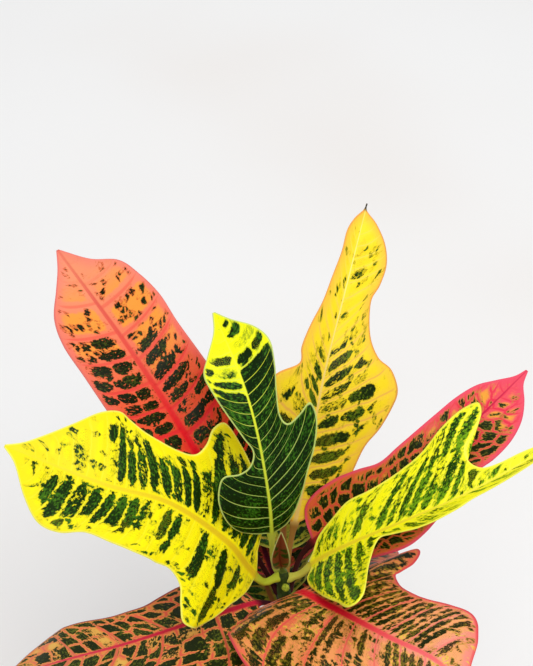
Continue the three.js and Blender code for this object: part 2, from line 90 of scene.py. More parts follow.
OUTLINES = {
    "strap": [
        [0, 0, 3, 0, 3], [4, 5, 14, 5, 15], [12, 14, 28, 16, 29], [24, 32, 40, 36, 39],
        [38, 50, 38, 54, 39], [54, 66, 33, 70, 36], [76, 90, 33, 92, 35], [98, 112, 33, 112, 34],
        [120, 134, 33, 134, 33], [142, 156, 33, 154, 34], [162, 174, 28, 172, 32],
        [182, 190, 17, 188, 27], [200, 203, 8, 199, 13], [216, 216, 0.8, 216, 0.8],
    ],
    "necked": [
        [0, 0, 3, 0, 3], [5, 8, 8, 8, 12], [14, 22, 17, 22, 25], [26, 38, 27, 40, 29],
        [37, 55, 35, 55, 33], [47, 69, 38, 68, 40], [56, 82, 38, 84, 45], [65, 93, 31, 98, 46],
        [74, 101, 18, 111, 39], [86, 110, 19, 117, 29], [102, 123, 17, 130, 21],
        [120, 140, 13, 151, 17], [140, 158, 11, 165, 20], [160, 178, 9, 181, 21],
        [180, 195, 9, 196, 17], [200, 207, 6, 209, 9], [217, 217, 1.2, 217, 1.2],
        [222.5, 222.5, 0.4, 222.5, 0.4],
    ],
    "arrow": [
        [0, 0, 3, 0, 3], [3, 3.5, 14, 10, 14], [8, 10, 25.5, 22, 28], [15, 16, 42, 36, 42],
        [24, 25, 53, 52, 55], [33, 41.5, 58.5, 64, 62], [40, 49, 51, 70, 54], [47, 55, 41, 71, 42],
        [55, 66, 36, 75, 33], [66, 80, 37, 84, 31], [80, 96, 36, 98, 35], [95, 110, 33, 112, 41],
        [108, 122, 31, 124, 44], [122, 134, 36, 136, 39], [136, 146, 35, 148, 27],
        [152, 158, 24, 160, 15], [168, 170, 8, 170, 6], [179, 179, 0.8, 179, 0.8],
    ],
    "fiddle": [
        [0, 0, 2, 0, 2], [3, 3, 10, 8, 9], [8, 10, 20, 18, 14], [15, 22, 27, 30, 19],
        [24, 36, 30, 46, 25], [33, 47, 28, 60, 31], [40, 52, 24, 74, 35], [46, 51, 15, 82, 33],
        [52, 54, 8, 77, 25], [60, 62, 5, 74, 18], [70, 72, 9, 80, 15], [84, 88, 15, 92, 17],
        [98, 102, 19, 106, 21], [112, 113, 20, 118, 23], [125, 122, 14, 128, 18],
        [136, 134, 5, 137, 8], [145, 145, 0.8, 145, 0.8],
    ],
    "spear": [
        [0, 0, 3, 0, 3], [4, 4, 13, 4, 16], [10, 10, 20, 16, 26], [20, 22, 22.5, 36, 33],
        [32, 36, 21.5, 54, 37], [46, 50, 18.5, 66, 36], [60, 64, 15, 78, 32],
        [76, 80, 16.5, 92, 27], [92, 98, 18, 106, 24], [108, 114, 18.5, 118, 25],
        [124, 130, 18, 132, 24], [140, 146, 15, 146, 20], [154, 158, 9, 158, 13],
        [168, 169, 3, 168, 5], [178, 178, 0.8, 178, 0.8],
    ],
    "antler": [
        [0, 0, 3, 0, 3], [3, 5, 6, -5, 7], [8, 14, 13, -1, 17], [15, 27, 19, 12, 29],
        [23, 38, 24, 27, 45], [31, 50, 25, 43, 63.5], [37, 58, 26, 52, 60], [43, 68, 28, 50, 30],
        [50, 80, 31, 52, 8], [58, 91, 35, 62, 9], [68, 104, 40, 78, 15], [78, 119, 45, 90, 17],
        [87, 134, 49, 102, 14], [93, 145, 48.5, 108, 11], [98, 142, 40, 113, 10],
        [102, 131, 32, 118, 10], [106, 121, 25, 123, 10], [111, 119, 17, 129, 10],
        [118, 124, 10, 136, 10], [130, 134, 7.5, 146, 9.5], [146, 148, 6.5, 157, 8],
        [162, 163, 4, 167, 5], [176, 176, 0.8, 176, 0.8],
    ],
    "wide": [
        [0, 0, 3, 0, 3], [3, 7, 15, -7, 15], [8, 16, 33, -12.5, 27], [14, 27, 52, -5, 36],
        [21, 39, 69, 7, 51], [28, 48, 58, 26, 59], [34, 50, 46, 43, 63], [40, 51, 41, 58, 63],
        [50, 64, 34.5, 73, 58], [64, 78, 32, 90, 51], [78, 94, 32, 102, 47],
        [92, 108, 34.5, 112, 43], [106, 118, 35.5, 123, 38], [120, 124.5, 26, 133, 27],
        [134, 133, 10, 140, 13], [149, 149, 0.8, 149, 0.8],
    ],
    "lyre": [
        [0, 0, 3, 0, 3], [4, 4, 14, 4, 12], [10, 12, 30, 14, 22], [18, 24, 42, 26, 29],
        [28, 38, 50, 39, 31], [38, 51, 48, 50, 29], [47, 62, 40, 58, 27], [57, 72, 35, 70, 24.5],
        [68, 83, 33, 84, 25.5], [82, 97, 34, 98, 27], [98, 112, 35, 114, 29.5],
        [114, 128, 33, 130, 31], [132, 146, 27, 150, 32], [150, 160, 17, 162, 23],
        [166, 169, 6, 171, 9], [178, 178, 0.8, 178, 0.8],
    ],
    "young": [
        [0, 0, 1.8, 0, 1.8], [4, 5, 6, 5, 6], [12, 14, 9.5, 14, 9.5], [20, 22, 9.5, 22, 9.5],
        [28, 29, 6, 29, 6], [35, 35, 0.8, 35, 0.8],
    ],
}

# ---- where the leaves grow ------------------------------------------------------------------
# turn and height: where the petiole leaves the stem. petiole: its length, and stalk its radius
# where it is stout. path: the midrib's points after that. face: the way the upper side looks, at
# the blade's base and at its tip. fold: the degrees by which the left and the right half are
# raised. curl: the degrees added towards their margins, below 0 to bend back. ripple: how high
# the margins wave. slot: the record's finish, and look: the one below.

UPPER_LEAVES = [
    dict(name="leaf_01", slot="coral", look="coral", outline="strap", turn=168, height=250,
         petiole=38, fold=(12, 12), curl=-14, ripple=1.2,
         path=[(-16, 9, 271), (-39, 24, 312), (-67, 50, 350), (-94, 74, 383), (-137, 128, 412)],
         face=((0.25, -0.75, 0.75), (0.25, -0.6, 0.75))),
    dict(name="leaf_02", slot="amber", look="golden", outline="necked", turn=66, height=256,
         petiole=36, fold=(14, 14), curl=-10, ripple=1,
         path=[(5, 21, 272), (14, 41, 314), (23, 60, 363), (35, 96, 395), (52.5, 164, 422.5)],
         face=((0.3, -0.8, 0.6), (0.35, -0.6, 0.8))),
    dict(name="leaf_03", slot="lemon", look="lemon", outline="arrow", turn=200, height=263,
         petiole=19, stalk=2.3, fold=(10, 10), curl=-12, ripple=1.2,
         path=[(-12, -6, 264), (-21, -9, 279), (-34, -11, 303), (-65, -12, 333),
               (-103, -16, 352), (-156, -7, 372)],
         face=((0.35, -0.45, 0.85), (0.2, -0.5, 0.85))),
    dict(name="leaf_04", slot="green", look="green", outline="fiddle", turn=118, height=260,
         petiole=40, fold=(14, 14), curl=-10, ripple=1,
         path=[(-6, 6, 270), (-8, -1, 322), (-15, 8, 368), (-25, 26, 397), (-40, 53, 420)],
         face=((0.1, -0.85, 0.5), (0.1, -0.8, 0.6))),
    dict(name="leaf_05", slot="crimson", look="crimson", outline="spear", turn=34, height=250,
         petiole=34, fold=(10, 10), curl=-14, ripple=1,
         path=[(13, 15, 269), (40, 18, 298), (74, 21, 327), (106, 36, 346), (147, 77, 359)],
         face=((-0.2, -0.6, 0.8), (-0.2, -0.6, 0.8))),
    dict(name="leaf_06", slot="lemon", look="streaked", outline="antler", turn=-4, height=262,
         petiole=18, stalk=2.3, fold=(20, 28), curl=0, ripple=0.8,
         path=[(11, -1, 266), (20, -2, 277), (39, -6, 295), (78, -10, 322),
               (112, -6, 340), (163, 15, 360)],
         face=((0, -0.45, 0.9), (0, 0.2, 1))),
    dict(name="leaf_07", slot="salmon", look="salmon", outline="wide", turn=-48, height=248,
         petiole=16, fold=(5, 11), curl=-14, ripple=1.5,
         path=[(11, -16, 265), (27, -40, 278), (56, -73, 290), (85, -94, 290), (101, -112, 276)],
         face=((0, -0.15, 1), (0.1, -0.4, 0.9))),
    dict(name="leaf_08", slot="crimson", look="scarlet", outline="lyre", turn=-142, height=240,
         petiole=16, fold=(4, 4), curl=-8, ripple=1.5,
         path=[(-15, -7, 247), (-43, -24, 253), (-88, -48, 257), (-128, -57, 251), (-165, -57, 235)],
         face=((0.1, 0, 1), (0, 0.25, 0.95))),
    dict(name="bud_leaf", slot="green", look="bud", outline="young", turn=0, height=268,
         petiole=8, fold=(56, 56), curl=0, ripple=0,
         path=[(-1.5, -3.5, 276), (-2.5, -7, 291), (-1.5, -9, 308)],
         face=((0.1, -1, 0.2), (0.1, -1, 0.1))),
]

# Older leaves: reach is how far the tip lies from the stem, lift and drop its rise and sag.
LOWER_LEAVES = [
    dict(outline="lyre", slot="olive", turn=84, height=244, reach=165, lift=35, drop=60),
    dict(outline="arrow", slot="crimson", turn=204, height=223, reach=170, lift=6, drop=100),
    dict(outline="spear", slot="olive", turn=-32, height=234, reach=165, lift=25, drop=85),
    dict(outline="strap", slot="crimson", turn=112, height=226, reach=175, lift=25, drop=75),
    dict(outline="wide", slot="olive", turn=252, height=220, reach=150, lift=20, drop=70),
    dict(outline="lyre", slot="crimson", turn=22, height=213, reach=140, lift=12, drop=125),
    dict(outline="necked", slot="olive", turn=98, height=204, reach=170, lift=3, drop=70),
    dict(outline="arrow", slot="olive", turn=-66, height=200, reach=160, lift=14, drop=80),
    dict(outline="spear", slot="crimson", turn=62, height=194, reach=150, lift=12, drop=50),
    dict(outline="lyre", slot="olive", turn=226, height=187, reach=150, lift=8, drop=85),
    dict(outline="strap", slot="crimson", turn=-12, height=181, reach=150, lift=5, drop=90),
    dict(outline="spear", slot="olive", turn=158, height=175, reach=145, lift=10, drop=85),
]
LOWER_PETIOLE = 26
LOWER_STEPS = (0.16, 0.36, 0.58, 0.8, 1)
LOWER_SWAY = 7
LOWER_ROLL = 6
LOWER_FOLD = 9
LOWER_CURL = -14
LOWER_RIPPLE = 1.5
LOWER_LOOKS = {"olive": "older_green", "crimson": "older_red"}
FIRST_LOWER_NUMBER = 9

UP = np.array([0.0, 0.0, 1.0])


# ---- curves and frames ----------------------------------------------------------------------

def spline(knots, t):
    """A smooth line through the knots, with t from 0 to 1: its points and its slopes."""
    ends = [2 * knots[0] - knots[1]], [2 * knots[-1] - knots[-2]]
    padded = np.vstack([ends[0], knots, ends[1]])
    place = np.clip(t, 0, 1) * (len(knots) - 1)
    first = np.minimum(place.astype(int), len(knots) - 2)
    w = (place - first)[..., None]
    before, start, end, after = (padded[first + k] for k in range(4))
    leaving = (end - before) / 2
    arriving = (after - start) / 2
    square = 3 * (end - start) - 2 * leaving - arriving
    cube = 2 * (start - end) + leaving + arriving
    points = start + w * leaving + w**2 * square + w**3 * cube
    return points, leaving + 2 * w * square + 3 * w**2 * cube


def unit(vectors):
    return vectors / np.linalg.norm(vectors, axis=-1, keepdims=True)


def smooth(low, high, value):
    """0 below low, 1 above high, and a soft step between."""
    share = np.clip((value - low) / (high - low), 0, 1)
    return share * share * (3 - 2 * share)


def outward(turn):
    return np.array([math.cos(math.radians(turn)), math.sin(math.radians(turn)), 0.0])


def stem_share(z):
    return max(0.0, (z - POT_HEIGHT) / (STEM_TOP - POT_HEIGHT))


def stem_radius(z):
    return STEM_FOOT_RADIUS + (STEM_TOP_RADIUS - STEM_FOOT_RADIUS) * stem_share(z)


def stem_centre(z):
    return np.array([STEM_SWAY * math.sin(math.pi * stem_share(z)) ** 2, 0.0, float(z)])


def petiole_foot(leaf):
    """Where the petiole leaves the bark. The youngest leaf stands on the stem's end."""
    if leaf["height"] > STEM_TOP:
        return stem_centre(STEM_TOP) + UP * STEM_END_LIFT
    out = outward(leaf["turn"])
    height = leaf["height"]
    return stem_centre(height) + out * (stem_radius(height) + PETIOLE_STAND_OFF)


def lower_leaf(leaf, index):
    """A lower leaf in the upper leaves' terms: out from the stem, over its crest and down."""
    side = -1 if index % 2 else 1
    out = outward(leaf["turn"])
    left = np.cross(UP, out)
    foot = petiole_foot(leaf)
    path = []
    for step in LOWER_STEPS:
        sway = side * LOWER_SWAY * math.sin(math.pi * step)
        point = foot + out * leaf["reach"] * step + left * sway
        rise = math.sin(0.5 * math.pi * min(1, 2 * step))
        path.append(point + UP * (leaf["lift"] * rise - leaf["drop"] * step**2))
    face = UP + left * math.sin(math.radians(side * LOWER_ROLL))
    return dict(leaf, name=f"leaf_{index + FIRST_LOWER_NUMBER:02d}", look=LOWER_LOOKS[leaf["slot"]],
                mirrored=side < 0, petiole=LOWER_PETIOLE, path=path, face=(face, face),
                fold=(LOWER_FOLD, LOWER_FOLD), curl=LOWER_CURL, ripple=LOWER_RIPPLE)


class Surface:
    """A leaf's midrib line and the blade spread over it, as in the part's own source."""

    SAMPLES = 200

    def __init__(self, leaf, phase):
        self.leaf = leaf
        self.phase = phase
        self.knots = np.array([petiole_foot(leaf), *leaf["path"]], float)
        self.steps = np.linspace(0, 1, self.SAMPLES + 1)
        points = spline(self.knots, self.steps)[0]
        lengths = np.linalg.norm(np.diff(points, axis=0), axis=1)
        self.distances = np.concatenate([[0], np.cumsum(lengths)])
        self.length = self.distances[-1]
        self.petiole = leaf["petiole"]
        self.blade = self.length - self.petiole

    def frame(self, s):
        """Centre, forward, up and left at distance s from the petiole's foot."""
        t = np.interp(s, self.distances, self.steps)
        centre, slope = spline(self.knots, t)
        along = unit(slope)
        base, tip = (np.array(face, float) for face in self.leaf["face"])
        opening = np.clip((s - self.petiole) / self.blade, 0, 1)[..., None]
        up = base + (tip - base) * opening
        up = unit(up - along * np.sum(up * along, axis=-1, keepdims=True))
        return centre, along, up, np.cross(up, along)

    def at(self, x, y):
        """The point x along and y to the left of the midrib on the flat blade."""
        s = np.clip(x, 0, self.blade) + self.petiole
        centre, along, up, left = self.frame(s)
        across = np.abs(y)
        fold = np.where(y < 0, self.leaf["fold"][1], self.leaf["fold"][0])
        tilt = np.radians(fold + self.leaf["curl"] * across / CURL_WIDTH)
        turns = 2 * math.pi * WAVE_COUNT * x / self.blade
        wave = np.sin(turns + self.phase + np.where(y < 0, WAVE_OFFSET, 0))
        lift = across * np.sin(tilt) + self.leaf["ripple"] * wave * (across / WAVE_HALF_WIDTH) ** 2
        aside = np.sign(y) * across * np.cos(tilt)
        ahead = x + self.petiole - s
        return centre + along * ahead[..., None] + left * aside[..., None] + up * lift[..., None]

    def normal(self, x, y):
        forward = self.at(x + 1, y) - self.at(x - 1, y)
        sideways = self.at(x, y + 0.5) - self.at(x, y - 0.5)
        return unit(np.cross(forward, sideways))


# ---- leaf meshes ----------------------------------------------------------------------------
# Each leaf is one closed skin: rings round the petiole that flatten into rings over the
# blade's upper side and back under it. Four attributes carry the leaf's own directions:
# vein (millimetres along the midrib to the lateral's root, millimetres out along it, count of
# laterals), edge (millimetres to the margin, share of the blade's length, 1 underneath), fill
# (how much of the blade is dark there) and leaf_number.

# Rings to a row of the outline, and steps from the midrib to the margin: fine for the whorl's
# leaves, which come first, and plain for the others. Crowding above 1 sets more of the steps
# near the midrib.
FINE = dict(rings_per_row=9, half=26)
PLAIN = dict(rings_per_row=5, half=16)
FINE_LEAVES = 8
CROWDING = 1.35
LEAST_HALF_WIDTH = 0.25

# Laterals arch towards the tip, and those of the two halves don't meet: they are a share of a
# lateral's spacing apart.
ARCH = 7
HALVES_APART = 0.4

# the relief of a blade: grooves along the laterals, the midrib and the rounded margin
GROOVE_HALF_WIDTH = 1.1
GROOVE_START = (1.5, 5)
RIB_HALF_WIDTH = 0.7
RIB_WIDENING = 1.5
MARGIN_ROUNDING = 0.55
MARGIN_SOFTNESS = 0.8

# A petiole's rings run from a little inside the bark (below 0) to just short of the blade (1).
PETIOLE_RINGS = 14
PETIOLE_START = -1.2
PETIOLE_SINK = 1.6
PETIOLE_END = 0.97
SWELL_SHARE = 0.16
FLAT_START = 0.72
PETIOLE_TOP = 0.92
FURROW_DEPTH = 0.16
FURROW_WIDTH = 0.5
BASE_HALF_WIDTH = 3.0
BUD_HALF_WIDTH = 1.8
BASE_ABOVE = 0.75
BASE_BELOW = 1.7
PETIOLE_MARGIN = 9


def outline_rows(leaf):
    rows = np.array(OUTLINES[leaf["outline"]], float)
    if leaf.get("mirrored"):
        rows = rows[:, [0, 3, 4, 1, 2]]
    return rows


def margin_distance(x, y, rows):
    """How far each point of the flat blade is from the leaf's margin."""
    left = np.stack([rows[:, 1], rows[:, 2]], axis=1)
    right = np.stack([rows[:, 3], -rows[:, 4]], axis=1)
    margin = np.vstack([left, right])
    points = np.stack([x.ravel(), y.ravel()], axis=1)
    best = np.full(len(points), 1e9)
    for spot in margin:
        best = np.minimum(best, np.sum((points - spot) ** 2, axis=1))
    return np.sqrt(best).reshape(x.shape)


def lateral_count(root, v, across, look, number):
    """Counts the laterals from the base, with the small unevenness of a real leaf."""
    arched = root - ARCH * np.abs(v) ** 3 + look.get("lean", 0.0) * across * np.abs(v)
    uneven = 0.2 * np.sin(arched / 17 + number) + 0.1 * np.sin(arched / 7.3 + 2.1 * number)
    return arched / look["Spacing"] + uneven + np.where(v < 0, HALVES_APART, 0.0)


def leaf_rings(leaf, number, detail, look):
    """Points and attributes of every ring, from the petiole's foot to the leaf's tip."""
    surface = Surface(leaf, number * WAVE_STEP)
    rows = outline_rows(leaf)
    count = (len(rows) - 1) * detail["rings_per_row"] + 1
    fine = spline(rows, np.linspace(0, 1, count))[0]
    fine[:, [2, 4]] = np.maximum(fine[:, [2, 4]], LEAST_HALF_WIDTH)
    stretch = surface.blade / rows[-1, 0]
    side_points = 2 * detail["half"] + 1

    w = np.linspace(1, -1, side_points)
    v = np.sign(w) * np.abs(w) ** CROWDING
    v = np.concatenate([v, v[::-1]])[None, :]
    under = np.repeat([[0.0, 1.0]], side_points, axis=1)
    reach = np.abs(v)
    root = fine[:, :1]
    along = np.where(v < 0, fine[:, 3:4], fine[:, 1:2])
    across = np.where(v < 0, fine[:, 4:5], fine[:, 2:3])
    flat_x = root + (along - root) * reach
    flat_y = across * v
    run = np.hypot(along - root, across) * v
    share = np.clip(root / rows[-1, 0], 0, 1) + 0 * v

    middle = surface.at(flat_x * stretch, flat_y)
    normal = surface.normal(flat_x * stretch, flat_y)
    counted = lateral_count(root, v, across, look, number)
    beside = np.abs(counted - np.round(counted)) * look["Spacing"]
    groove = np.exp(-((beside / GROOVE_HALF_WIDTH) ** 2)) * (1 - reach**4)
    groove = groove * smooth(*GROOVE_START, np.abs(run))
    rib = np.exp(-((run / (RIB_HALF_WIDTH + RIB_WIDENING * (1 - share))) ** 2)) * (1 - share)
    edge_gap = margin_distance(flat_x, flat_y, fine)
    skin = BLADE_THICKNESS / 2 * (1 - MARGIN_ROUNDING * np.exp(-edge_gap / MARGIN_SOFTNESS))
    over = skin + RIB_OVER * rib - look["quilt"] * groove
    beneath = skin + RIB_UNDER * rib + look["quilt"] * groove
    points = middle + normal * np.where(under > 0, -beneath, over)[..., None]

    shares, left_fill, right_fill = np.array(look["fill"]).T
    fills = (np.interp(share, shares, side_fill) for side_fill in (right_fill, left_fill))
    fill = np.where(v < 0, *fills)

    stalk_points, stalk_run = petiole_rings(surface, v.shape[1])
    zero = np.zeros(stalk_points.shape[:2])
    whole = np.concatenate([stalk_points, points])
    vein = np.stack([np.vstack([stalk_run + zero, root + 0 * v]), np.vstack([zero, run]),
                     np.vstack([zero, counted])], axis=-1)
    edge = np.stack([np.vstack([zero + PETIOLE_MARGIN, edge_gap]), np.vstack([zero, share]),
                     np.vstack([zero + under, under + 0 * root])], axis=-1)
    layers = {"vein": vein, "edge": edge, "fill": np.vstack([zero, fill]),
              "leaf_number": np.full(whole.shape[:2], float(number))}
    return whole, layers


def petiole_rings(surface, around):
    """Round rings along the petiole, sunk into the bark at the foot and flattened at the end."""
    s = np.linspace(PETIOLE_START, 1, PETIOLE_RINGS)
    s = np.where(s < 0, s * PETIOLE_SINK, s * surface.petiole * PETIOLE_END)
    centre, along, up, left = surface.frame(np.maximum(s, 0))
    centre = centre + along * np.minimum(s, 0)[:, None]
    share = np.clip(s / surface.petiole, 0, 1)
    swell = 1 - smooth(0, SWELL_SHARE, share)
    radius = surface.leaf.get("stalk", PETIOLE_RADIUS) + PETIOLE_SWELL * swell
    flat = smooth(FLAT_START, 1, share)
    widest = BUD_HALF_WIDTH if surface.leaf["outline"] == "young" else BASE_HALF_WIDTH
    wide = radius + (widest - radius) * flat
    above = radius * PETIOLE_TOP + (BASE_ABOVE - radius * PETIOLE_TOP) * flat
    below = radius + (BASE_BELOW - radius) * flat
    angle = math.pi * (np.arange(around) + 0.5) / (around / 2)
    sine = np.sin(angle)[None, :]
    furrow = 1 - FURROW_DEPTH * np.exp(-(((angle - math.pi / 2) / FURROW_WIDTH) ** 2))[None, :]
    aside = wide[:, None] * np.cos(angle)[None, :]
    rise = np.where(sine > 0, above[:, None] * furrow, below[:, None]) * sine
    points = centre[:, None] + left[:, None] * aside[..., None] + up[:, None] * rise[..., None]
    return points, (s - surface.petiole)[:, None]


def skin_from_rings(name, rings, layers):
    """One closed skin over rings of equally many points. layers are vertex attributes."""
    count, around = rings.shape[:2]
    bm = bmesh.new()
    bmesh.ops.create_grid(bm, x_segments=count - 1, y_segments=around, size=1)
    stores = {}
    for label, values in layers.items():
        kind = bm.verts.layers.float_vector if values.ndim == 3 else bm.verts.layers.float
        stores[label] = (kind.new(label), values)
    for vert in bm.verts:
        ring = round((vert.co.x + 1) / 2 * (count - 1))
        side = round((vert.co.y + 1) / 2 * around) % around
        vert.co = Vector(rings[ring, side] * MM)
        for store, values in stores.values():
            value = values[ring, side]
            vert[store] = Vector(value) if values.ndim == 3 else float(value)
    bmesh.ops.remove_doubles(bm, verts=bm.verts, dist=1e-7)
    bmesh.ops.holes_fill(bm, edges=[edge for edge in bm.edges if edge.is_boundary], sides=0)
    bmesh.ops.recalc_face_normals(bm, faces=bm.faces)
    return finished(name, bm)


def finished(name, bm, shaded_smooth=True):
    """Turns a bmesh into an object that stands at the origin."""
    for face in bm.faces:
        face.smooth = shaded_smooth
    mesh = bpy.data.meshes.new(name)
    bm.to_mesh(mesh)
    bm.free()
    piece = bpy.data.objects.new(name, mesh)
    bpy.context.scene.collection.objects.link(piece)
    return piece


def place(piece, material, slot, node=None):
    """Gives a piece its finish, and lets it stand for a CAD node where it has one."""
    piece.data.materials.append(material)
    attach(piece, "root")
    if node:
        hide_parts(node)
    return piece


# ---- node helpers ---------------------------------------------------------------------------

def colour(code):
    """A hex colour as linear red, green, blue and alpha."""
    channels = [int(code[k:k + 2], 16) / 255 for k in (1, 3, 5)]
    return [c / 12.92 if c <= 0.04045 else ((c + 0.055) / 1.055) ** 2.4 for c in channels] + [1]


class Field:
    """A value that changes over the surface: a node's output that can be reckoned with like a
    number. Each sum or product is one more Math node in the output's own tree."""

    def __init__(self, socket):
        self.socket = socket

    def __add__(self, other):
        return maths("ADD", self, other)

    def __sub__(self, other):
        return maths("SUBTRACT", self, other)

    def __rsub__(self, other):
        return maths("SUBTRACT", other, self)

    def __mul__(self, other):
        return maths("MULTIPLY", self, other)

    def __truediv__(self, other):
        return maths("DIVIDE", self, other)

    def __abs__(self):
        return maths("ABSOLUTE", self)


class Outputs:
    """A node's outputs as Fields, by name or by number."""

    def __init__(self, node):
        self.node = node

    def __getitem__(self, label):
        return Field(self.node.outputs[label])


def connect(value, socket):
    """Links a Field to the socket, or gives the socket a plain value."""
    if isinstance(value, Field):
        socket.id_data.links.new(value.socket, socket)
    else:
        socket.default_value = value


def tree_of(values):
    """The node tree of the first Field among the values."""
    return next(value.socket.id_data for value in values if isinstance(value, Field))


def add(tree, kind, inputs=None, **settings):
    """A new shader node, with its settings and inputs, each a plain value or a Field."""
    node = tree.nodes.new("ShaderNode" + kind)
    for label, value in settings.items():
        setattr(node, label, value)
    for label, value in (inputs or {}).items():
        connect(value, node.inputs[label])
    return Outputs(node)


def maths(operation, *values):
    return add(tree_of(values), "Math", dict(enumerate(values)), operation=operation)[0]


def lower(first, second):
    return maths("MINIMUM", first, second)


def softly_lower(first, second, softness):
    return maths("SMOOTH_MIN", first, second, softness)


def higher(first, second):
    return maths("MAXIMUM", first, second)


def mixed(factor, first, second):
    """The first colour where the factor is 0 and the second where it is 1."""
    inputs = {0: factor, 6: first, 7: second}
    return add(tree_of(inputs.values()), "Mix", inputs, data_type="RGBA")[2]


def between(factor, first, second):
    """The first number where the factor is 0 and the second where it is 1."""
    inputs = {"Factor": factor, "A": first, "B": second}
    return add(tree_of(inputs.values()), "Mix", inputs)[0]


def step(value, low, high, start=0.0, end=1.0):
    """A soft step from start to end while value goes from low to high."""
    inputs = {"Value": value, "From Min": low, "From Max": high, "To Min": start, "To Max": end}
    return add(tree_of([value]), "MapRange", inputs, interpolation_type="SMOOTHSTEP")["Result"]


def slope(value, start, end):
    """An even change from start to end while value goes from 0 to 1."""
    return add(tree_of([value]), "MapRange", {"Value": value, "To Min": start, "To Max": end})[0]


def combine(x, y, z):
    inputs = {"X": x, "Y": y, "Z": z}
    return add(tree_of(inputs.values()), "CombineXYZ", inputs)[0]


def split(vector):
    return add(tree_of([vector]), "SeparateXYZ", {0: vector})


def speckle(vector, scale, detail=2.0, rough=0.5):
    """Noise round 0.5."""
    inputs = {"Vector": vector, "Scale": scale, "Detail": detail, "Roughness": rough}
    return add(tree_of([vector]), "TexNoise", inputs)[0]


def drawn_for(x, y, z):
    """A random number from 0 to 1 that belongs to these three."""
    vector = combine(x, y, z)
    return add(tree_of([vector]), "TexWhiteNoise", {"Vector": vector})["Value"]


def object_place(tree):
    return add(tree, "TexCoord")["Object"]


def new_group(name, inputs, outputs):
    """An empty node group with named sockets: (tree, its inputs as Fields, its output node)."""
    tree = bpy.data.node_groups.new(name, "ShaderNodeTree")
    kinds = {float: "NodeSocketFloat", list: "NodeSocketColor"}
    for label, value in inputs.items():
        socket = tree.interface.new_socket(label, in_out="INPUT", socket_type=kinds[type(value)])
        socket.default_value = value
    for label, kind in outputs.items():
        tree.interface.new_socket(label, in_out="OUTPUT", socket_type=kinds[kind])
    source = tree.nodes.new("NodeGroupInput")
    sink = tree.nodes.new("NodeGroupOutput")
    return tree, Outputs(source), sink


def use_group(tree, group, values):
    node = tree.nodes.new("ShaderNodeGroup")
    node.node_tree = group
    for label, value in values.items():
        connect(value, node.inputs[label])
    return Outputs(node)


def put_out(sink, values):
    for label, value in values.items():
        connect(value, sink.inputs[label])


def new_material(name, shine):
    """A material, its node tree and its shader, with shine as the specular level."""
    material = bpy.data.materials.new(name)
    material.use_nodes = True
    shader = material.node_tree.nodes["Principled BSDF"]
    shader.inputs["Specular IOR Level"].default_value = shine
    return material, material.node_tree, shader


def coat(shader, tint, rough):
    connect(tint, shader.inputs["Base Color"])
    connect(rough, shader.inputs["Roughness"])


def emboss(shader, height, strength, depth):
    """Fine relief from a height field, at most depth metres deep."""
    inputs = {"Height": height, "Strength": strength, "Distance": depth}
    connect(add(tree_of([height]), "Bump", inputs)[0], shader.inputs["Normal"])


# ---- node groups for the leaves -------------------------------------------------------------
# Distances are millimetres on the leaf. Count goes up by one from each lateral to the next.

def make_leaf_place():
    """Where on the leaf a point is, read from the leaf's attributes."""
    labels = ["Root", "Run", "Reach", "Side", "Count", "Margin", "Share", "Under", "Fill", "Number"]
    tree, _, sink = new_group("leaf place", {}, dict.fromkeys(labels, float))
    vein = split(add(tree, "Attribute", attribute_name="vein")["Vector"])
    edge = split(add(tree, "Attribute", attribute_name="edge")["Vector"])
    put_out(sink, {
        "Root": vein[0], "Run": vein[1], "Count": vein[2],
        "Margin": edge[0], "Share": edge[1], "Under": edge[2],
        "Reach": abs(vein[1]), "Side": maths("SIGN", vein[1]),
        "Fill": add(tree, "Attribute", attribute_name="fill")["Fac"],
        "Number": add(tree, "Attribute", attribute_name="leaf_number")["Fac"],
    })
    return tree


def make_laterals():
    """The straight lateral veins: 1 on a vein, which thins out towards the margin, and the
    distance to the nearest one."""
    inputs = {"Count": 0.0, "Reach": 0.0, "Side": 1.0, "Number": 0.0, "Spacing": 9.0,
              "Every": 1.0, "Width": 1.2, "Uneven": 0.0, "Margin": 9.0}
    tree, given, sink = new_group("lateral veins", inputs, {"Vein": float, "Beside": float})
    counted = given["Count"] / given["Every"]
    nearest = maths("ROUND", counted)
    beside = abs(counted - nearest) * (given["Spacing"] * given["Every"])
    weaker = drawn_for(nearest, given["Side"], given["Number"]) * given["Uneven"]
    width = given["Width"] * step(given["Reach"], 4.0, 55.0, 1.0, 0.35) * (1.0 - weaker)
    width = width * step(given["Margin"], 1.0, 8.0, 0.2, 1.0)
    vein = step(beside, width * 0.25, width * 0.7 + 0.2, 1.0, 0.0)
    put_out(sink, {"Vein": vein, "Beside": beside})
    return tree


ISLAND_PLACE = {"Across": 0.0, "Reach": 0.0, "Side": 1.0, "Number": 0.0, "Width": 9.0,
                "Length": 16.0, "Start": 3.0}


def make_rows():
    """Long islands in rows between the laterals: how deep in its row a point lies, how much
    narrower its island is there than in the middle, and the island's own random number.
    Taper is 1 for ends that close and 0 for none."""
    tree, given, sink = new_group("island rows", {**ISLAND_PLACE, "Taper": 1.0},
                                  {"Row edge": float, "Bend": float, "Chance": float})
    row = maths("FLOOR", given["Across"])
    row_edge = (0.5 - abs(given["Across"] - row - 0.5)) * given["Width"]
    drawn = drawn_for(row, given["Side"], given["Number"])
    along = (given["Reach"] - given["Start"]) / (given["Length"] * (drawn * 0.8 + 0.6))
    island = maths("FLOOR", along)
    narrower = maths("POWER", abs(along - island - 0.5) * 2.0, 5.0)
    bend = narrower * given["Width"] * 0.5 * given["Taper"]
    chance = drawn_for(row * 1.7, island * 3.1 + given["Side"], given["Number"])
    put_out(sink, {"Row edge": row_edge, "Bend": bend, "Chance": chance})
    return tree


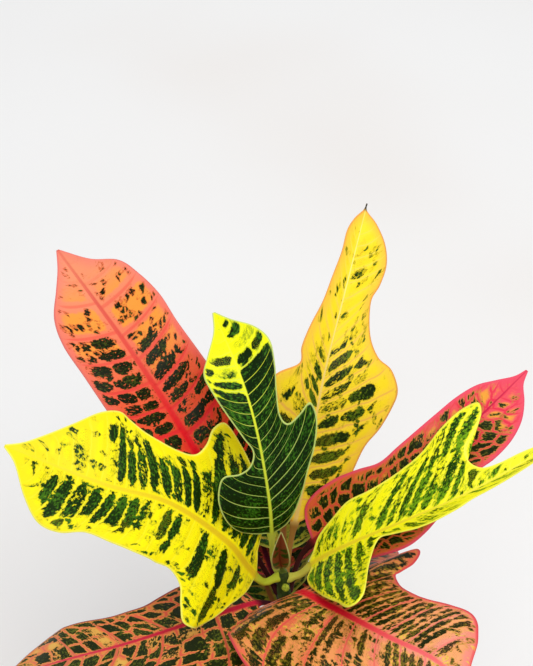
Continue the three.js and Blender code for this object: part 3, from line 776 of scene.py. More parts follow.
def make_cells():
    """Rounded cells of a net: how deep in its cell a point lies, and the cell's own random
    number. Jitter is 0 for cells all alike and 1 for uneven ones."""
    tree, given, sink = new_group("island cells", {**ISLAND_PLACE, "Jitter": 0.6},
                                  {"Edge": float, "Chance": float})
    centred = given["Jitter"] * 0.5 - 0.5
    out = (given["Reach"] - given["Start"]) / given["Length"] * (given["Reach"] * 0.008 + 1.0)
    out = given["Number"] * 29.0 + (given["Side"] * 7.0 + out + centred)
    across = given["Number"] * 13.0 + given["Across"] + centred
    pattern = {"Vector": combine(across, out, 0.0), "Scale": 1.0, "Randomness": given["Jitter"]}
    border = add(tree, "TexVoronoi", pattern, voronoi_dimensions="2D", feature="DISTANCE_TO_EDGE")
    cell = add(tree, "TexVoronoi", pattern, voronoi_dimensions="2D", feature="F1")
    chance = add(tree, "SeparateColor", {0: cell["Color"]})[0]
    put_out(sink, {"Edge": border["Distance"] * given["Width"], "Chance": chance})
    return tree


def make_islands(rows, cells):
    """The dark islands. Level is above 0 in an island, and Edge is the distance from the
    borders between islands. Netted goes from rows (0) to a net (1). The smaller Depth is, the
    more holes an island has."""
    inputs = {"Root": 0.0, "Count": 0.0, "Run": 0.0, "Reach": 0.0, "Side": 1.0, "Number": 0.0,
              "Limit": 9.0, "Amount": 0.5, "Spacing": 9.0, "Rows": 1.0, "Length": 16.0,
              "Start": 3.0, "Gap": 1.0, "Taper": 1.0, "Netted": 0.0, "Jitter": 0.5,
              "Ragged": 1.0, "Grain": 1.4, "Depth": 2.0}
    tree, given, sink = new_group("islands", inputs, {"Level": float, "Edge": float, "Fine": float})
    warp_place = combine(given["Root"] / 8.0, given["Run"] / 10.0, given["Number"])
    warp = split(add(tree, "TexNoise", {"Vector": warp_place, "Scale": 1.0, "Detail": 1.0})[1])
    across = (warp[0] - 0.5) * 0.3 + given["Count"] * given["Rows"]
    reach = (warp[1] - 0.5) * 6.0 + given["Reach"]
    width = given["Spacing"] / given["Rows"]
    shared = {"Across": across, "Reach": reach, "Side": given["Side"], "Number": given["Number"],
              "Width": width, "Length": given["Length"], "Start": given["Start"]}
    row = use_group(tree, rows, {**shared, "Taper": given["Taper"]})
    cell = use_group(tree, cells, {**shared, "Jitter": given["Jitter"]})

    edge = between(given["Netted"], row["Row edge"], cell["Edge"])
    chance = between(given["Netted"], row["Chance"], cell["Chance"])
    bend = between(given["Netted"], row["Bend"], 0.0)
    level = softly_lower(edge - given["Gap"] - bend, given["Limit"], 2.0)
    level = lower(lower(level, (given["Amount"] - chance) * 6.0), given["Depth"])
    grain = combine(across * width / given["Grain"], given["Run"] / (given["Grain"] * 1.8),
                    given["Number"])
    fine = speckle(grain, 1.0, 3.0, 0.62) - 0.5
    put_out(sink, {"Level": fine * (given["Ragged"] * 3.6) + level, "Edge": edge, "Fine": fine})
    return tree


LEAF_SHINE = 0.08
AWN_COLOUR = "#39332c"
UNDERSIDE_COLOUR = "#8a8a5a"

# What a leaf's look can set, and what it is otherwise. Lengths are millimetres.
# Spacing: from lateral to lateral. Every: 2 draws every second lateral, and so on.
# Rows: rows of islands to a lateral. Length: of an island. Start: from the midrib to the first.
# Gap: the pale strip round an island. Taper: 1 draws its ends to a point. Netted: 0 for rows and
# 1 for a net, whose cells are as uneven as Jitter. Depth, Ragged and Grain: how whole, how rough
# and how coarse an island is. Clear rib and Clear margin: plain strips beside the two.
# Sparse rim: fewer islands near the margin. Spots: more small islands. Spots inside: 1 keeps
# them off the veins. Plain tip: the share of the length where the pattern ends. Areole: the
# colour inside a field, and Areole low: what is left of it where much is dark. Glow: how much of
# the margin's colour spreads inwards. Halo: the colour round an island. Awn: 1 for a dry tip.
# The painted highlight set in each look is bright specks of the fleck colour painted on the dark
# islands.
LEAF_LOOK = {
    "Spacing": 9.0, "Every": 1.0, "Rows": 1.0, "Length": 16.0, "Start": 3.0, "Gap": 1.2,
    "Taper": 0.9, "Netted": 0.0, "Jitter": 0.6, "Depth": 1.1, "Ragged": 1.3, "Grain": 1.4,
    "Clear rib": 3.0, "Clear margin": 3.0, "Sparse rim": 0.3, "Spots": 0.2, "Spots inside": 0.0,
    "Spot length": 5.0, "Plain tip": 0.9, "Straight width": 0.0, "Uneven": 0.4, "Net width": 1.0,
    "Midrib width": 1.8, "Margin width": 1.0, "Awn": 0.0, "Ground": colour("#f0d020"),
    "Ground tip": colour("#f4e040"), "Areole": colour("#f0b030"), "Areole amount": 0.8,
    "Areole low": 1.0, "Glow": 0.0, "Glow width": 8.0, "Vein": colour("#f0c040"),
    "Vein tip": colour("#f0d060"), "Midrib": colour("#e0c040"), "Midrib tip": colour("#f0e060"),
    "Margin": colour("#f0e060"), "Petiole": colour("#b8c060"), "Dark": colour("#1c2c0a"),
    "Mottle": colour("#4a6418"), "Mottle amount": 0.3, "Painted highlight": 0.3, "Halo": colour("#a08a20"),
    "Fleck": colour("#e0a030"), "Fleck amount": 0.2,
}


class LeafSpot:
    """What the parts of the variegation share at one spot of the leaf."""

    def __init__(self, tree, given, spot):
        self.tree = tree
        self.given = given
        self.spot = spot
        self.share = spot["Share"]
        self.cloud = speckle(combine(spot["Root"] / 22.0, spot["Run"] / 17.0, spot["Number"]), 1.0) - 0.5
        # 1 on the blade and 0 on its plain tip
        self.patterned = step(self.share, given["Plain tip"] - 0.1, given["Plain tip"] + 0.06, 1.0, 0.0)
        # where the fill is above 1.1 the islands crowd, and clear strips and gaps close
        self.crowd = step(spot["Fill"], 1.1, 1.7)
        self.opened = self.crowd * -0.75 + 1.0
        self.clear_rib = given["Clear rib"] * slope(self.share, 1.0, 0.45) * self.opened
        self.clear_margin = given["Clear margin"] * self.opened
        self.where = {label: spot[label] for label in ("Root", "Count", "Run", "Reach", "Side")}


def large_islands(leaf, islands):
    given, spot = leaf.given, leaf.spot
    sparse = step(spot["Margin"], 3.0, 13.0, 1.0, 0.0) * leaf.opened * given["Sparse rim"]
    kept = ("Rows", "Length", "Start", "Jitter", "Ragged", "Grain", "Spacing", "Netted")
    return use_group(leaf.tree, islands, {
        **leaf.where, **{label: given[label] for label in kept}, "Number": spot["Number"],
        "Limit": lower(spot["Reach"] - leaf.clear_rib, spot["Margin"] - leaf.clear_margin),
        "Amount": leaf.cloud * 0.9 + spot["Fill"] - sparse,
        "Gap": leaf.crowd * -1.6 + given["Gap"] * leaf.opened,
        "Depth": leaf.crowd * 3.0 + given["Depth"],
        "Taper": given["Taper"] - leaf.crowd * given["Taper"]})


def small_islands(leaf, islands, inside):
    """The spots between the large islands, thinned out towards the plain tip."""
    given, spot = leaf.given, leaf.spot
    limit = lower(spot["Margin"] - 1.6, spot["Reach"] - leaf.clear_rib)
    amount = (leaf.cloud * 1.1 + given["Spots"]) * leaf.patterned - 0.02
    return use_group(leaf.tree, islands, {
        **leaf.where, "Number": spot["Number"] + 40.0, "Amount": amount,
        "Limit": lower(limit, between(given["Spots inside"], 9.0, inside)),
        "Rows": given["Spacing"] / 4.2, "Length": given["Spot length"], "Gap": 0.6,
        "Netted": 1.0, "Jitter": 0.95, "Ragged": 1.0, "Grain": 1.2, "Depth": 0.6,
        "Spacing": given["Spacing"]})


def ground_colour(leaf, inside, large, small):
    """The pale ground, warmer between the veins, tinted at the margin and flecked."""
    given, spot, share, cloud = leaf.given, leaf.spot, leaf.share, leaf.cloud
    ground = mixed(step(share, 0.25, 0.95), given["Ground"], given["Ground tip"])
    areole = step((large["Fine"] * 0.8 + cloud) * 4.0 + inside, 0.2, 2.4) * given["Areole amount"]
    areole = areole * leaf.patterned * step(spot["Fill"], 0.4, 1.0, 1.0, given["Areole low"])
    tint = mixed(areole, ground, given["Areole"])
    glow = step(cloud * 5.0 + spot["Margin"], 0.0, given["Glow width"], given["Glow"], 0.0)
    tint = mixed(glow * step(share, 0.25, 0.6, 0.25, 1.0), tint, given["Margin"])
    fleck = step(small["Fine"] * 1.4 + cloud, 0.1, 0.2) * given["Fleck amount"]
    return mixed(fleck, tint, given["Fleck"])


def with_veins(leaf, tint, straight, large):
    """The straight laterals, or the net between the islands, over the ground."""
    given, share, width = leaf.given, leaf.share, leaf.given["Net width"]
    net = step(large["Edge"], width * 0.3, width * 0.7 + 0.2, 1.0, 0.0) * step(width, 0.0, 0.3)
    lines = higher(net, straight) * step(leaf.spot["Margin"], 0.8, 6.0, 0.3, 0.95)
    vein_colour = mixed(step(share, 0.3, 0.9), given["Vein"], given["Vein tip"])
    return mixed(lines * (leaf.patterned * 0.85 + 0.15), tint, vein_colour)


def with_islands(leaf, tint, halo, filled, fine):
    """The dark islands with their paler rims, mottled inside and dotted with bright specks of painted
    highlight in the fleck colour.
    """
    given, cloud = leaf.given, leaf.cloud
    mottle = step(given["Mottle amount"] * 0.4 + (cloud * 0.5 + fine), 0.14, 0.3)
    dark = mixed(mottle, given["Dark"], given["Mottle"])
    # painted highlight: bright specks of the fleck colour on the dark islands, in place of the leaf's
    # gloss
    painted_specks = step(cloud * 0.35 + fine, 0.2, 0.27) * given["Painted highlight"]
    dark = mixed(painted_specks, dark, given["Fleck"])
    tint = mixed(halo, tint, given["Halo"])
    return mixed(filled, tint, dark)


def with_rim_and_rib(leaf, tint):
    """The margin, the midrib, the petiole and, on a leaf that has one, the dry awn."""
    given, spot, share = leaf.given, leaf.spot, leaf.share
    rim = step(spot["Margin"], given["Margin width"] * 0.5, given["Margin width"] * 1.5, 0.9, 0.0)
    tint = mixed(rim, tint, given["Margin"])
    rib_width = given["Midrib width"] * slope(share, 1.0, 0.3)
    rib = step(spot["Reach"], rib_width * 0.5, rib_width * 1.3, 1.0, 0.0)
    rib_colour = mixed(step(share, 0.25, 0.9), given["Midrib"], given["Midrib tip"])
    tint = mixed(rib * step(share, 0.75, 1.0, 1.0, 0.5), tint, rib_colour)
    # the petiole's colour; on the red leaves it is partly their own dark crimson and partly painted
    # shade
    tint = mixed(step(spot["Root"], -4.0, 3.0, 1.0, 0.0), tint, given["Petiole"])
    return mixed(step(share, 0.965, 0.985) * given["Awn"], tint, colour(AWN_COLOUR))


def make_leaf_colour(place_group, laterals, islands):
    """The whole variegation: ground, veins, dark islands, spots, midrib, margin and petiole."""
    outputs = {"Color": list, "Roughness": float, "Height": float}
    tree, given, sink = new_group("croton variegation", LEAF_LOOK, outputs)
    spot = use_group(tree, place_group, {})
    leaf = LeafSpot(tree, given, spot)

    large = large_islands(leaf, islands)
    lateral = use_group(tree, laterals, {
        "Width": given["Straight width"], "Every": given["Every"], "Uneven": given["Uneven"],
        "Spacing": given["Spacing"],
        **{label: spot[label] for label in ("Count", "Reach", "Side", "Number", "Margin")}})
    straight = lateral["Vein"] * step(given["Straight width"], 0.0, 0.2)
    # how far inside its field between veins, midrib and margin a point lies
    beside = lateral["Beside"] - given["Straight width"] * 0.5
    inside = between(given["Netted"], beside - 0.8, large["Edge"] - 0.8)
    inside = softly_lower(inside, spot["Reach"] - given["Clear rib"], 3.0)
    inside = softly_lower(inside, spot["Margin"] - leaf.clear_margin, 3.0)
    small = small_islands(leaf, islands, inside)
    level = higher(large["Level"], small["Level"])
    uncut = straight * -0.95 + 1.0
    halo = step(level, -0.9, -0.1, 0.0, 0.7) * uncut
    filled = step(level, -0.1, 0.2) * uncut

    tint = ground_colour(leaf, inside, large, small)
    tint = with_veins(leaf, tint, straight, large)
    tint = with_islands(leaf, tint, halo, filled, small["Fine"])
    tint = with_rim_and_rib(leaf, tint)
    beneath = mixed(0.5, given["Ground"], colour(UNDERSIDE_COLOUR))
    tint = mixed(spot["Under"] * 0.45, tint, beneath)

    rough = spot["Under"] * 0.22 + step(leaf.cloud, -0.2, 0.2, 0.36, 0.48)
    rough = filled * -0.05 + rough
    height = small["Fine"] * 0.8 + (step(large["Edge"], 0.0, 2.5) * 0.5 - straight)
    put_out(sink, {"Color": tint, "Roughness": rough, "Height": height})
    return tree


# ---- leaf finishes --------------------------------------------------------------------------
# A look changes some of LEAF_LOOK, with colours as hex codes. Besides, quilt is how deep its
# laterals are sunk, lean turns them back towards square, and fill says how much is dark, as
# (share of the length, left half, right half), where islands run together above 1.1.

LOOKS = {
    "coral": {
        "quilt": 0.25, "lean": 0.25,
        "fill": ((0, 1.1, 1.1), (0.46, 1.05, 0.95), (0.54, 1.0, 0.6), (0.6, 0.85, 0.3),
                 (0.64, 0.3, 0.1), (0.7, 0.0, -0.2), (0.8, -0.5, -0.6), (1, -1, -1)),
        "Spacing": 9.4, "Every": 2.0, "Length": 18.0, "Start": 3.4, "Depth": 0.75, "Ragged": 1.6,
        "Clear rib": 3.4, "Clear margin": 2.6, "Sparse rim": 0.6, "Spots": 0.42,
        "Spots inside": 1.0, "Plain tip": 0.84, "Straight width": 2.2, "Uneven": 0.25,
        "Net width": 0.0, "Midrib width": 3.3, "Ground": "#f0362a", "Ground tip": "#f2946c",
        "Areole": "#f29e34", "Areole amount": 0.85, "Areole low": 0.12, "Glow": 0.55,
        "Glow width": 9.0, "Vein": "#ea2c30", "Vein tip": "#ec7458", "Midrib": "#e8061e",
        # The petiole's dark crimson is darkened further: painted shade for the heart of the plant, where
        # the petioles crowd.
        "Midrib tip": "#dc6250", "Margin": "#ec7a70", "Petiole": "#300c10", "Dark": "#141a03",
        "Mottle": "#3e4a0e", "Painted highlight": 0.8, "Halo": "#d0582c", "Fleck": "#d8843a",
    },
    "golden": {
        "quilt": 0.2, "lean": 0.2,
        "fill": ((0, 0.75, 0.8), (0.3, 0.75, 0.75), (0.38, 0.75, 0.7), (0.46, 0.6, 0.65),
                 (0.5, 0.15, 0.2), (0.57, 0.3, 0.0), (0.7, 0.35, 0.2), (0.78, 0.1, 0.1),
                 (0.84, -0.1, -0.15), (1, -1, -1)),
        "Spacing": 10.0, "Length": 20.0, "Start": 1.6, "Gap": 1.9, "Taper": 0.8, "Depth": 1.0,
        "Ragged": 1.2, "Clear rib": 2.2, "Clear margin": 3.4, "Sparse rim": 0.9, "Spots": 0.1,
        "Net width": 0.7, "Awn": 1.0, "Ground": "#fad436", "Ground tip": "#fbe434",
        "Areole": "#fadc1c", "Glow": 0.5, "Vein": "#f0b84c", "Vein tip": "#f6dc56",
        "Midrib": "#f2cc70", "Midrib tip": "#f8ee84", "Margin": "#eea24c", "Petiole": "#94682c",
        "Dark": "#152503", "Mottle": "#566e0e", "Mottle amount": 0.45, "Halo": "#b4a010",
        "Fleck": "#e8a040",
    },
    "lemon": {
        "quilt": 0.25, "lean": 0.25,
        "fill": ((0, 0.6, 1.3), (0.12, 0.65, 1.2), (0.2, 0.75, 1.1), (0.3, 0.7, 1.0),
                 (0.4, 0.45, 0.95), (0.45, 0.3, 0.9), (0.5, 0.6, 0.85), (0.56, 1.0, 0.8),
                 (0.64, 1.05, 0.75), (0.7, 1.0, 0.5), (0.74, 0.95, 0.7), (0.79, 0.5, 0.6),
                 (0.85, 0.35, 0.1), (0.92, 0.1, -0.4), (1, -1, -1)),
        "Spacing": 7.4, "Length": 30.0, "Start": 4.4, "Gap": 0.7, "Taper": 0.6, "Depth": 1.2,
        "Clear rib": 4.6, "Clear margin": 3.6, "Sparse rim": 0.6, "Net width": 0.5,
        "Midrib width": 2.6, "Margin width": 0.8, "Ground": "#fbea0c", "Ground tip": "#fce41a",
        "Areole": "#fff406", "Vein": "#f6ee26", "Vein tip": "#f8ea2c", "Midrib": "#e6c41c",
        "Midrib tip": "#f4e02a", "Margin": "#f6f26a", "Petiole": "#b2bc30", "Dark": "#132a03",
        "Mottle": "#3f6e10", "Mottle amount": 0.4, "Painted highlight": 0.6, "Halo": "#c0bc18",
        "Fleck": "#e0d424",
    },
    "green": {
        "quilt": 0.3,
        "fill": ((0, 2.2, 2.2), (0.5, 2.2, 2.2), (0.6, 2.0, 2.2), (0.66, 1.2, 2.1),
                 (0.72, 0.95, 1.7), (0.78, 0.8, 1.0), (0.82, 0.2, 0.9), (0.9, 0.05, 0.8),
                 (0.95, 0.0, 0.3), (1, -0.6, -0.6)),
        "Spacing": 7.0, "Start": 1.0, "Gap": 1.3, "Ragged": 1.0, "Clear rib": 2.0,
        "Clear margin": 1.5, "Sparse rim": 0.0, "Spots": -1.0, "Straight width": 0.6,
        "Uneven": 0.75, "Net width": 0.0, "Midrib width": 1.5, "Margin width": 0.8,
        "Ground": "#d2de1c", "Ground tip": "#fafa10", "Areole": "#eef018", "Vein": "#b4cc72",
        "Vein tip": "#e8f034", "Midrib": "#ccd83c", "Midrib tip": "#f6fa2e", "Margin": "#c4d678",
        "Petiole": "#c2cc4e", "Dark": "#0d2302", "Mottle": "#356812", "Mottle amount": 0.38,
        "Painted highlight": 0.9, "Halo": "#8fa61c", "Fleck": "#c4d848",
    },
    "crimson": {
        "quilt": 0.25,
        "fill": ((0, 1.1, 1.1), (0.5, 1.0, 1.0), (0.62, 0.9, 0.9), (0.7, 0.6, 0.7),
                 (0.77, 0.4, 0.4), (0.82, 0.1, 0.1), (0.86, -0.6, -0.6), (1, -1, -1)),
        "Spacing": 9.0, "Length": 9.5, "Start": 1.0, "Gap": 1.1, "Netted": 1.0, "Jitter": 0.8,
        "Depth": 0.9, "Clear rib": 2.2, "Spots": 0.3, "Spots inside": 1.0, "Plain tip": 0.88,
        "Net width": 1.2, "Midrib width": 1.6, "Margin width": 1.5, "Ground": "#e4642f",
        "Ground tip": "#ea5060", "Areole": "#eca03a", "Areole amount": 1.0, "Glow": 0.6,
        "Vein": "#e2503c", "Vein tip": "#e22a4c", "Midrib": "#a82c2c", "Midrib tip": "#c41f48",
        # The petiole's dark crimson is darkened further: painted shade for the heart of the plant, where
        # the petioles crowd.
        "Margin": "#ea5068", "Petiole": "#381210", "Dark": "#1a2204", "Mottle": "#5c6418",
        "Mottle amount": 0.35, "Painted highlight": 0.5, "Halo": "#b8862c", "Fleck": "#e0b040",
    },
    "streaked": {
        "quilt": 0.2,
        "fill": ((0, 0.95, 1.25), (0.1, 0.9, 1.2), (0.15, 0.25, 1.2), (0.22, 0.35, 0.9),
                 (0.28, 0.9, 0.8), (0.34, 0.95, 0.5), (0.6, 0.9, 0.45), (0.72, 0.7, 0.4),
                 (0.85, 0.5, 0.35), (1, 0.2, 0.1)),
        "Spacing": 7.6, "Length": 30.0, "Taper": 0.4, "Ragged": 1.9, "Grain": 1.8,
        "Clear rib": 3.2, "Clear margin": 2.2, "Sparse rim": 0.2, "Spots": 0.15, "Net width": 0.4,
        "Midrib width": 2.3, "Ground": "#fbf416", "Ground tip": "#f8f234", "Areole": "#fdf80a",
        "Vein": "#f2ee3c", "Vein tip": "#f4f050", "Midrib": "#ecd62a", "Midrib tip": "#f2ec50",
        "Margin": "#f6f45a", "Petiole": "#c0bc4a", "Dark": "#183803", "Mottle": "#6fa010",
        "Mottle amount": 0.45, "Painted highlight": 0.5, "Halo": "#a8b81c", "Fleck": "#d4dc30",
    },
    "salmon": {
        "quilt": 0.2,
        "fill": ((0, 1.2, 0.8), (0.3, 1.15, 0.7), (0.55, 1.05, 0.58), (0.68, 0.95, 0.5),
                 (0.78, 0.6, 0.35), (0.86, 0.15, 0.1), (0.93, -0.4, -0.4), (1, -1, -1)),
        "Spacing": 5.4, "Every": 3.0, "Length": 22.0, "Gap": 0.8, "Taper": 0.7, "Depth": 1.0,
        "Ragged": 1.6, "Grain": 1.3, "Spots": 0.3, "Straight width": 1.0, "Net width": 0.0,
        "Midrib width": 3.5, "Margin width": 1.2, "Ground": "#ec7450", "Ground tip": "#f09c86",
        "Areole": "#f0a85c", "Areole amount": 0.7, "Areole low": 0.7, "Glow": 0.4,
        "Glow width": 7.0, "Vein": "#e6584c", "Vein tip": "#f08478", "Midrib": "#dc0e2a",
        "Midrib tip": "#ee6e6e", "Margin": "#e24a54", "Petiole": "#98a048", "Dark": "#1c2203",
        "Mottle": "#7c6c1c", "Mottle amount": 0.35, "Painted highlight": 0.9, "Halo": "#c88a3c",
        "Fleck": "#e4cc3c", "Fleck amount": 0.8,
    },
    "scarlet": {
        "quilt": 0.3,
        "fill": ((0, 0.88, 0.94), (0.5, 0.74, 0.9), (1, 0.55, 0.75)),
        "Spacing": 11.0, "Every": 3.0, "Length": 14.0, "Start": 1.4, "Gap": 1.3, "Netted": 1.0,
        "Depth": 1.6, "Ragged": 0.9, "Clear rib": 1.8, "Clear margin": 1.8, "Sparse rim": 0.0,
        "Spots": 0.35, "Straight width": 2.2, "Uneven": 0.3, "Net width": 0.9,
        "Midrib width": 2.4, "Margin width": 1.2, "Ground": "#ec8448", "Ground tip": "#ea8648",
        "Areole": "#e8be58", "Vein": "#e4604a", "Vein tip": "#e0705a", "Midrib": "#c41a38",
        # The petiole's dark crimson is darkened further: painted shade for the heart of the plant, where
        # the petioles crowd.
        "Midrib tip": "#de3e54", "Margin": "#94303e", "Petiole": "#3a1018", "Dark": "#1e2809",
        "Mottle": "#5e681c", "Painted highlight": 0.5, "Halo": "#dca04c", "Fleck": "#b8ac40",
    },
    "bud": {
        "quilt": 0.05,
        "fill": ((0, 1.05, 1.05), (0.5, 1.05, 1.05), (0.8, 0.4, 0.4), (1, -0.2, -0.2)),
        "Spacing": 5.0, "Length": 40.0, "Start": 0.5, "Gap": 0.3, "Clear rib": 2.6,
        "Clear margin": 0.8, "Spots": -1.0, "Net width": 0.0, "Midrib width": 2.0,
        "Margin width": 0.7, "Ground": "#8a4a26", "Ground tip": "#8a4526", "Areole": "#6e3a14",
        "Areole amount": 0.3, "Vein": "#7a9440", "Vein tip": "#8a6a3a", "Midrib": "#6e3418",
        "Midrib tip": "#8a3c16", "Margin": "#aab068", "Petiole": "#5e7230", "Dark": "#2e4a0c",
        "Mottle": "#466418", "Halo": "#4c5216", "Fleck amount": 0.0,
    },
    "older_green": {
        "quilt": 0.3,
        "fill": ((0, 1.1, 1.1), (0.5, 1.05, 1.05), (1, 0.9, 0.9)),
        "Spacing": 9.0, "Length": 24.0, "Gap": 0.9, "Depth": 1.8, "Clear rib": 2.4,
        "Clear margin": 1.8, "Midrib width": 2.2, "Ground": "#8c8c28", "Ground tip": "#b0a034",
        "Areole": "#8a9a2c", "Vein": "#a88a34", "Vein tip": "#d0b24c", "Midrib": "#8a5a2c",
        "Midrib tip": "#d8b050", "Margin": "#a8ac48", "Petiole": "#4a5426", "Dark": "#11240a",
        "Mottle": "#33601a", "Mottle amount": 0.4, "Halo": "#7c8a2a",
    },
    "older_red": {
        "quilt": 0.3,
        "fill": ((0, 1.1, 1.1), (0.5, 1.0, 1.0), (1, 0.8, 0.8)),
        "Spacing": 10.0, "Length": 15.0, "Gap": 1.0, "Netted": 1.0, "Depth": 1.6,
        "Clear rib": 2.8, "Clear margin": 2.4, "Spots": 0.25, "Net width": 1.2,
        "Midrib width": 2.4, "Margin width": 1.2, "Ground": "#c4502c", "Ground tip": "#cf6a3c",
        "Areole": "#b0702a", "Vein": "#9c2430", "Vein tip": "#c84a40", "Midrib": "#4a1020",
        "Midrib tip": "#c43a48", "Margin": "#b03440", "Petiole": "#2a1010", "Dark": "#131d0b",
        "Mottle": "#38481c", "Halo": "#8a4e24",
    },
}


def leaf_material(name, look, variegation):
    material, tree, shader = new_material("leaf " + name.replace("_", " "), LEAF_SHINE)
    values = {label: colour(value) if isinstance(value, str) else float(value)
              for label, value in look.items() if label in LEAF_LOOK}
    leaf = use_group(tree, variegation, values)
    coat(shader, leaf["Color"], leaf["Roughness"])
    emboss(shader, leaf["Height"], 0.3, 0.0004)
    return material


# ---- stem, soil and pot finishes ------------------------------------------------------------
# Speckle scales are grains to the metre, and heights are metres above the ground.

def bark_material():
    """Dark green and smooth at the top, a young green darkened as painted shade under the leaves;
    grey-brown and corky with pale lenticels lower down.
    """
    material, tree, shader = new_material("croton bark", 0.15)
    where = object_place(tree)
    streaks = add(tree, "Mapping", {"Vector": where, "Scale": (1, 1, 0.3)})[0]
    cork = speckle(streaks, 700, 4.0, 0.6)
    dots = add(tree, "TexVoronoi", {"Vector": where, "Scale": 330.0})["Distance"]
    lenticel = step(dots, 0.12, 0.2, 1.0, 0.0) * 0.6
    old = mixed(step(cork, 0.35, 0.68), colour("#5a5038"), colour("#988c6c"))
    old = mixed(lenticel, old, colour("#b9ab88"))
    # the young green top, partly its own green and partly painted shade from the leaves crowded over it
    young = mixed(step(cork, 0.3, 0.7), colour("#222e0c"), colour("#3c4c18"))
    tint = mixed(step(split(where)[2], 0.17, 0.255), old, young)
    coat(shader, tint, step(cork, 0.3, 0.7, 0.6, 0.8))
    emboss(shader, cork + lenticel, 0.5, 0.0008)
    return material


def young_bud_material():
    material, tree, shader = new_material("young bud", LEAF_SHINE)
    grain = speckle(object_place(tree), 900, 3.0, 0.6)
    tint = mixed(step(grain, 0.35, 0.65), colour("#74841c"), colour("#b2bc3c"))
    coat(shader, tint, step(grain, 0.3, 0.7, 0.5, 0.65))
    emboss(shader, grain, 0.4, 0.0004)
    return material


def earth_material(name, dark, light, fleck):
    material, tree, shader = new_material(name, 0.5)
    where = object_place(tree)
    coarse = speckle(where, 130, 5.0, 0.65)
    fine = speckle(where, 900, 3.0, 0.6)
    tint = mixed(step(coarse, 0.35, 0.66), colour(dark), colour(light))
    tint = mixed(step(fine, 0.63, 0.72), tint, colour(fleck))
    coat(shader, tint, step(fine, 0.3, 0.7, 0.86, 0.98))
    emboss(shader, coarse + fine * 0.4, 0.9, 0.0015)
    return material


def clay_material():
    """Unglazed terracotta: speckled, a little lighter where salts have come through."""
    material, tree, shader = new_material("terracotta", 0.25)
    where = object_place(tree)
    height = split(where)[2]
    cloud = speckle(where, 22, 5.0, 0.55)
    grain = speckle(where, 1100, 3.0, 0.7)
    rings = add(tree, "Mapping", {"Vector": where, "Scale": (2.5, 2.5, 260)})[0]
    turning = speckle(rings, 1.0)
    tint = mixed(step(cloud, 0.3, 0.7), colour("#a85a3a"), colour("#c27a54"))
    tint = mixed(step(grain, 0.62, 0.74, 0.0, 0.5), tint, colour("#7d3f28"))
    foot_bloom = step(height + cloud * 0.05, 0.02, 0.055, 0.55, 0.0)
    rim_bloom = step(height + cloud * 0.03, 0.142, 0.16, 0.0, 0.5)
    bloom = higher(foot_bloom, rim_bloom) * step(grain, 0.35, 0.6)
    tint = mixed(bloom, tint, colour("#d8b9a2"))
    coat(shader, tint, step(cloud, 0.3, 0.7, 0.78, 0.92))
    emboss(shader, turning * 1.2 + grain * 0.5, 0.35, 0.0006)
    return material


def floor_material():
    """A pale studio floor with a hardly visible warm unevenness."""
    material, tree, shader = new_material("pale floor", 0.1)
    cloud = speckle(object_place(tree), 1.6, 2.0, 0.4)
    tint = mixed(step(cloud, 0.4, 0.75), colour("#f4f4f4"), colour("#efebe8"))
    coat(shader, tint, step(cloud, 0.3, 0.7, 0.85, 0.95))
    return material


# ---- stem, soil and pot ---------------------------------------------------------------------

STEM_SIDES = 40
STEM_RINGS = 190
STEM_END_ROUNDING = 4
STEM_END_NARROWING = 0.55
SCAR_HEIGHTS = (147, 152, 158, 163, 169)
SCAR_TURN = 137.5
SCAR_DENT = -0.35
NODE_SWELL = 0.55
NODE_HEIGHT = 2.4
NODE_WIDTH = 0.7
NODE_RING = 0.12
NODE_RING_BELOW = 3.4
NODE_RING_HEIGHT = 0.7


def build_stem(leaves):
    """The stem, swollen at each leaf and marked with the scars of the ones it has dropped."""
    marks = [(leaf["height"], math.radians(leaf["turn"]), NODE_SWELL) for leaf in leaves]
    marks += [(z, math.radians(SCAR_TURN * k), SCAR_DENT) for k, z in enumerate(SCAR_HEIGHTS)]
    heights = np.linspace(STEM_FOOT, STEM_TOP - 0.5, STEM_RINGS)
    angles = np.arange(STEM_SIDES) * 2 * math.pi / STEM_SIDES
    rings = []
    for z in heights:
        centre = stem_centre(z)
        radius = np.full(STEM_SIDES, stem_radius(z))
        radius = radius * (1 - STEM_END_NARROWING * smooth(STEM_TOP - STEM_END_ROUNDING, STEM_TOP, z))
        for height, turn, swell in marks:
            apart = (angles - turn + math.pi) % (2 * math.pi) - math.pi
            near = math.exp(-(((z - height) / NODE_HEIGHT) ** 2))
            radius = radius + swell * near * np.exp(-((apart / NODE_WIDTH) ** 2))
            below = (z - height + NODE_RING_BELOW) / NODE_RING_HEIGHT
            radius = radius + NODE_RING * math.exp(-(below**2))
        ring = np.stack([np.cos(angles) * radius, np.sin(angles) * radius, 0 * angles], axis=1)
        rings.append(ring + centre)
    return skin_from_rings("stem_bark", np.array(rings), {})


def spun(bm, profile, steps):
    """Turns a profile of (radius, height) pairs, in millimetres, once round the pot's axis."""
    verts = [bm.verts.new((radius * MM, 0, height * MM)) for radius, height in profile]
    edges = [bm.edges.new(pair) for pair in zip(verts, verts[1:])]
    bmesh.ops.spin(bm, geom=verts + edges, cent=(0, 0, 0), axis=(0, 0, 1), dvec=(0, 0, 0),
                   angle=2 * math.pi, steps=steps, use_merge=True)
    bmesh.ops.remove_doubles(bm, verts=bm.verts, dist=1e-6)
    bmesh.ops.recalc_face_normals(bm, faces=bm.faces)


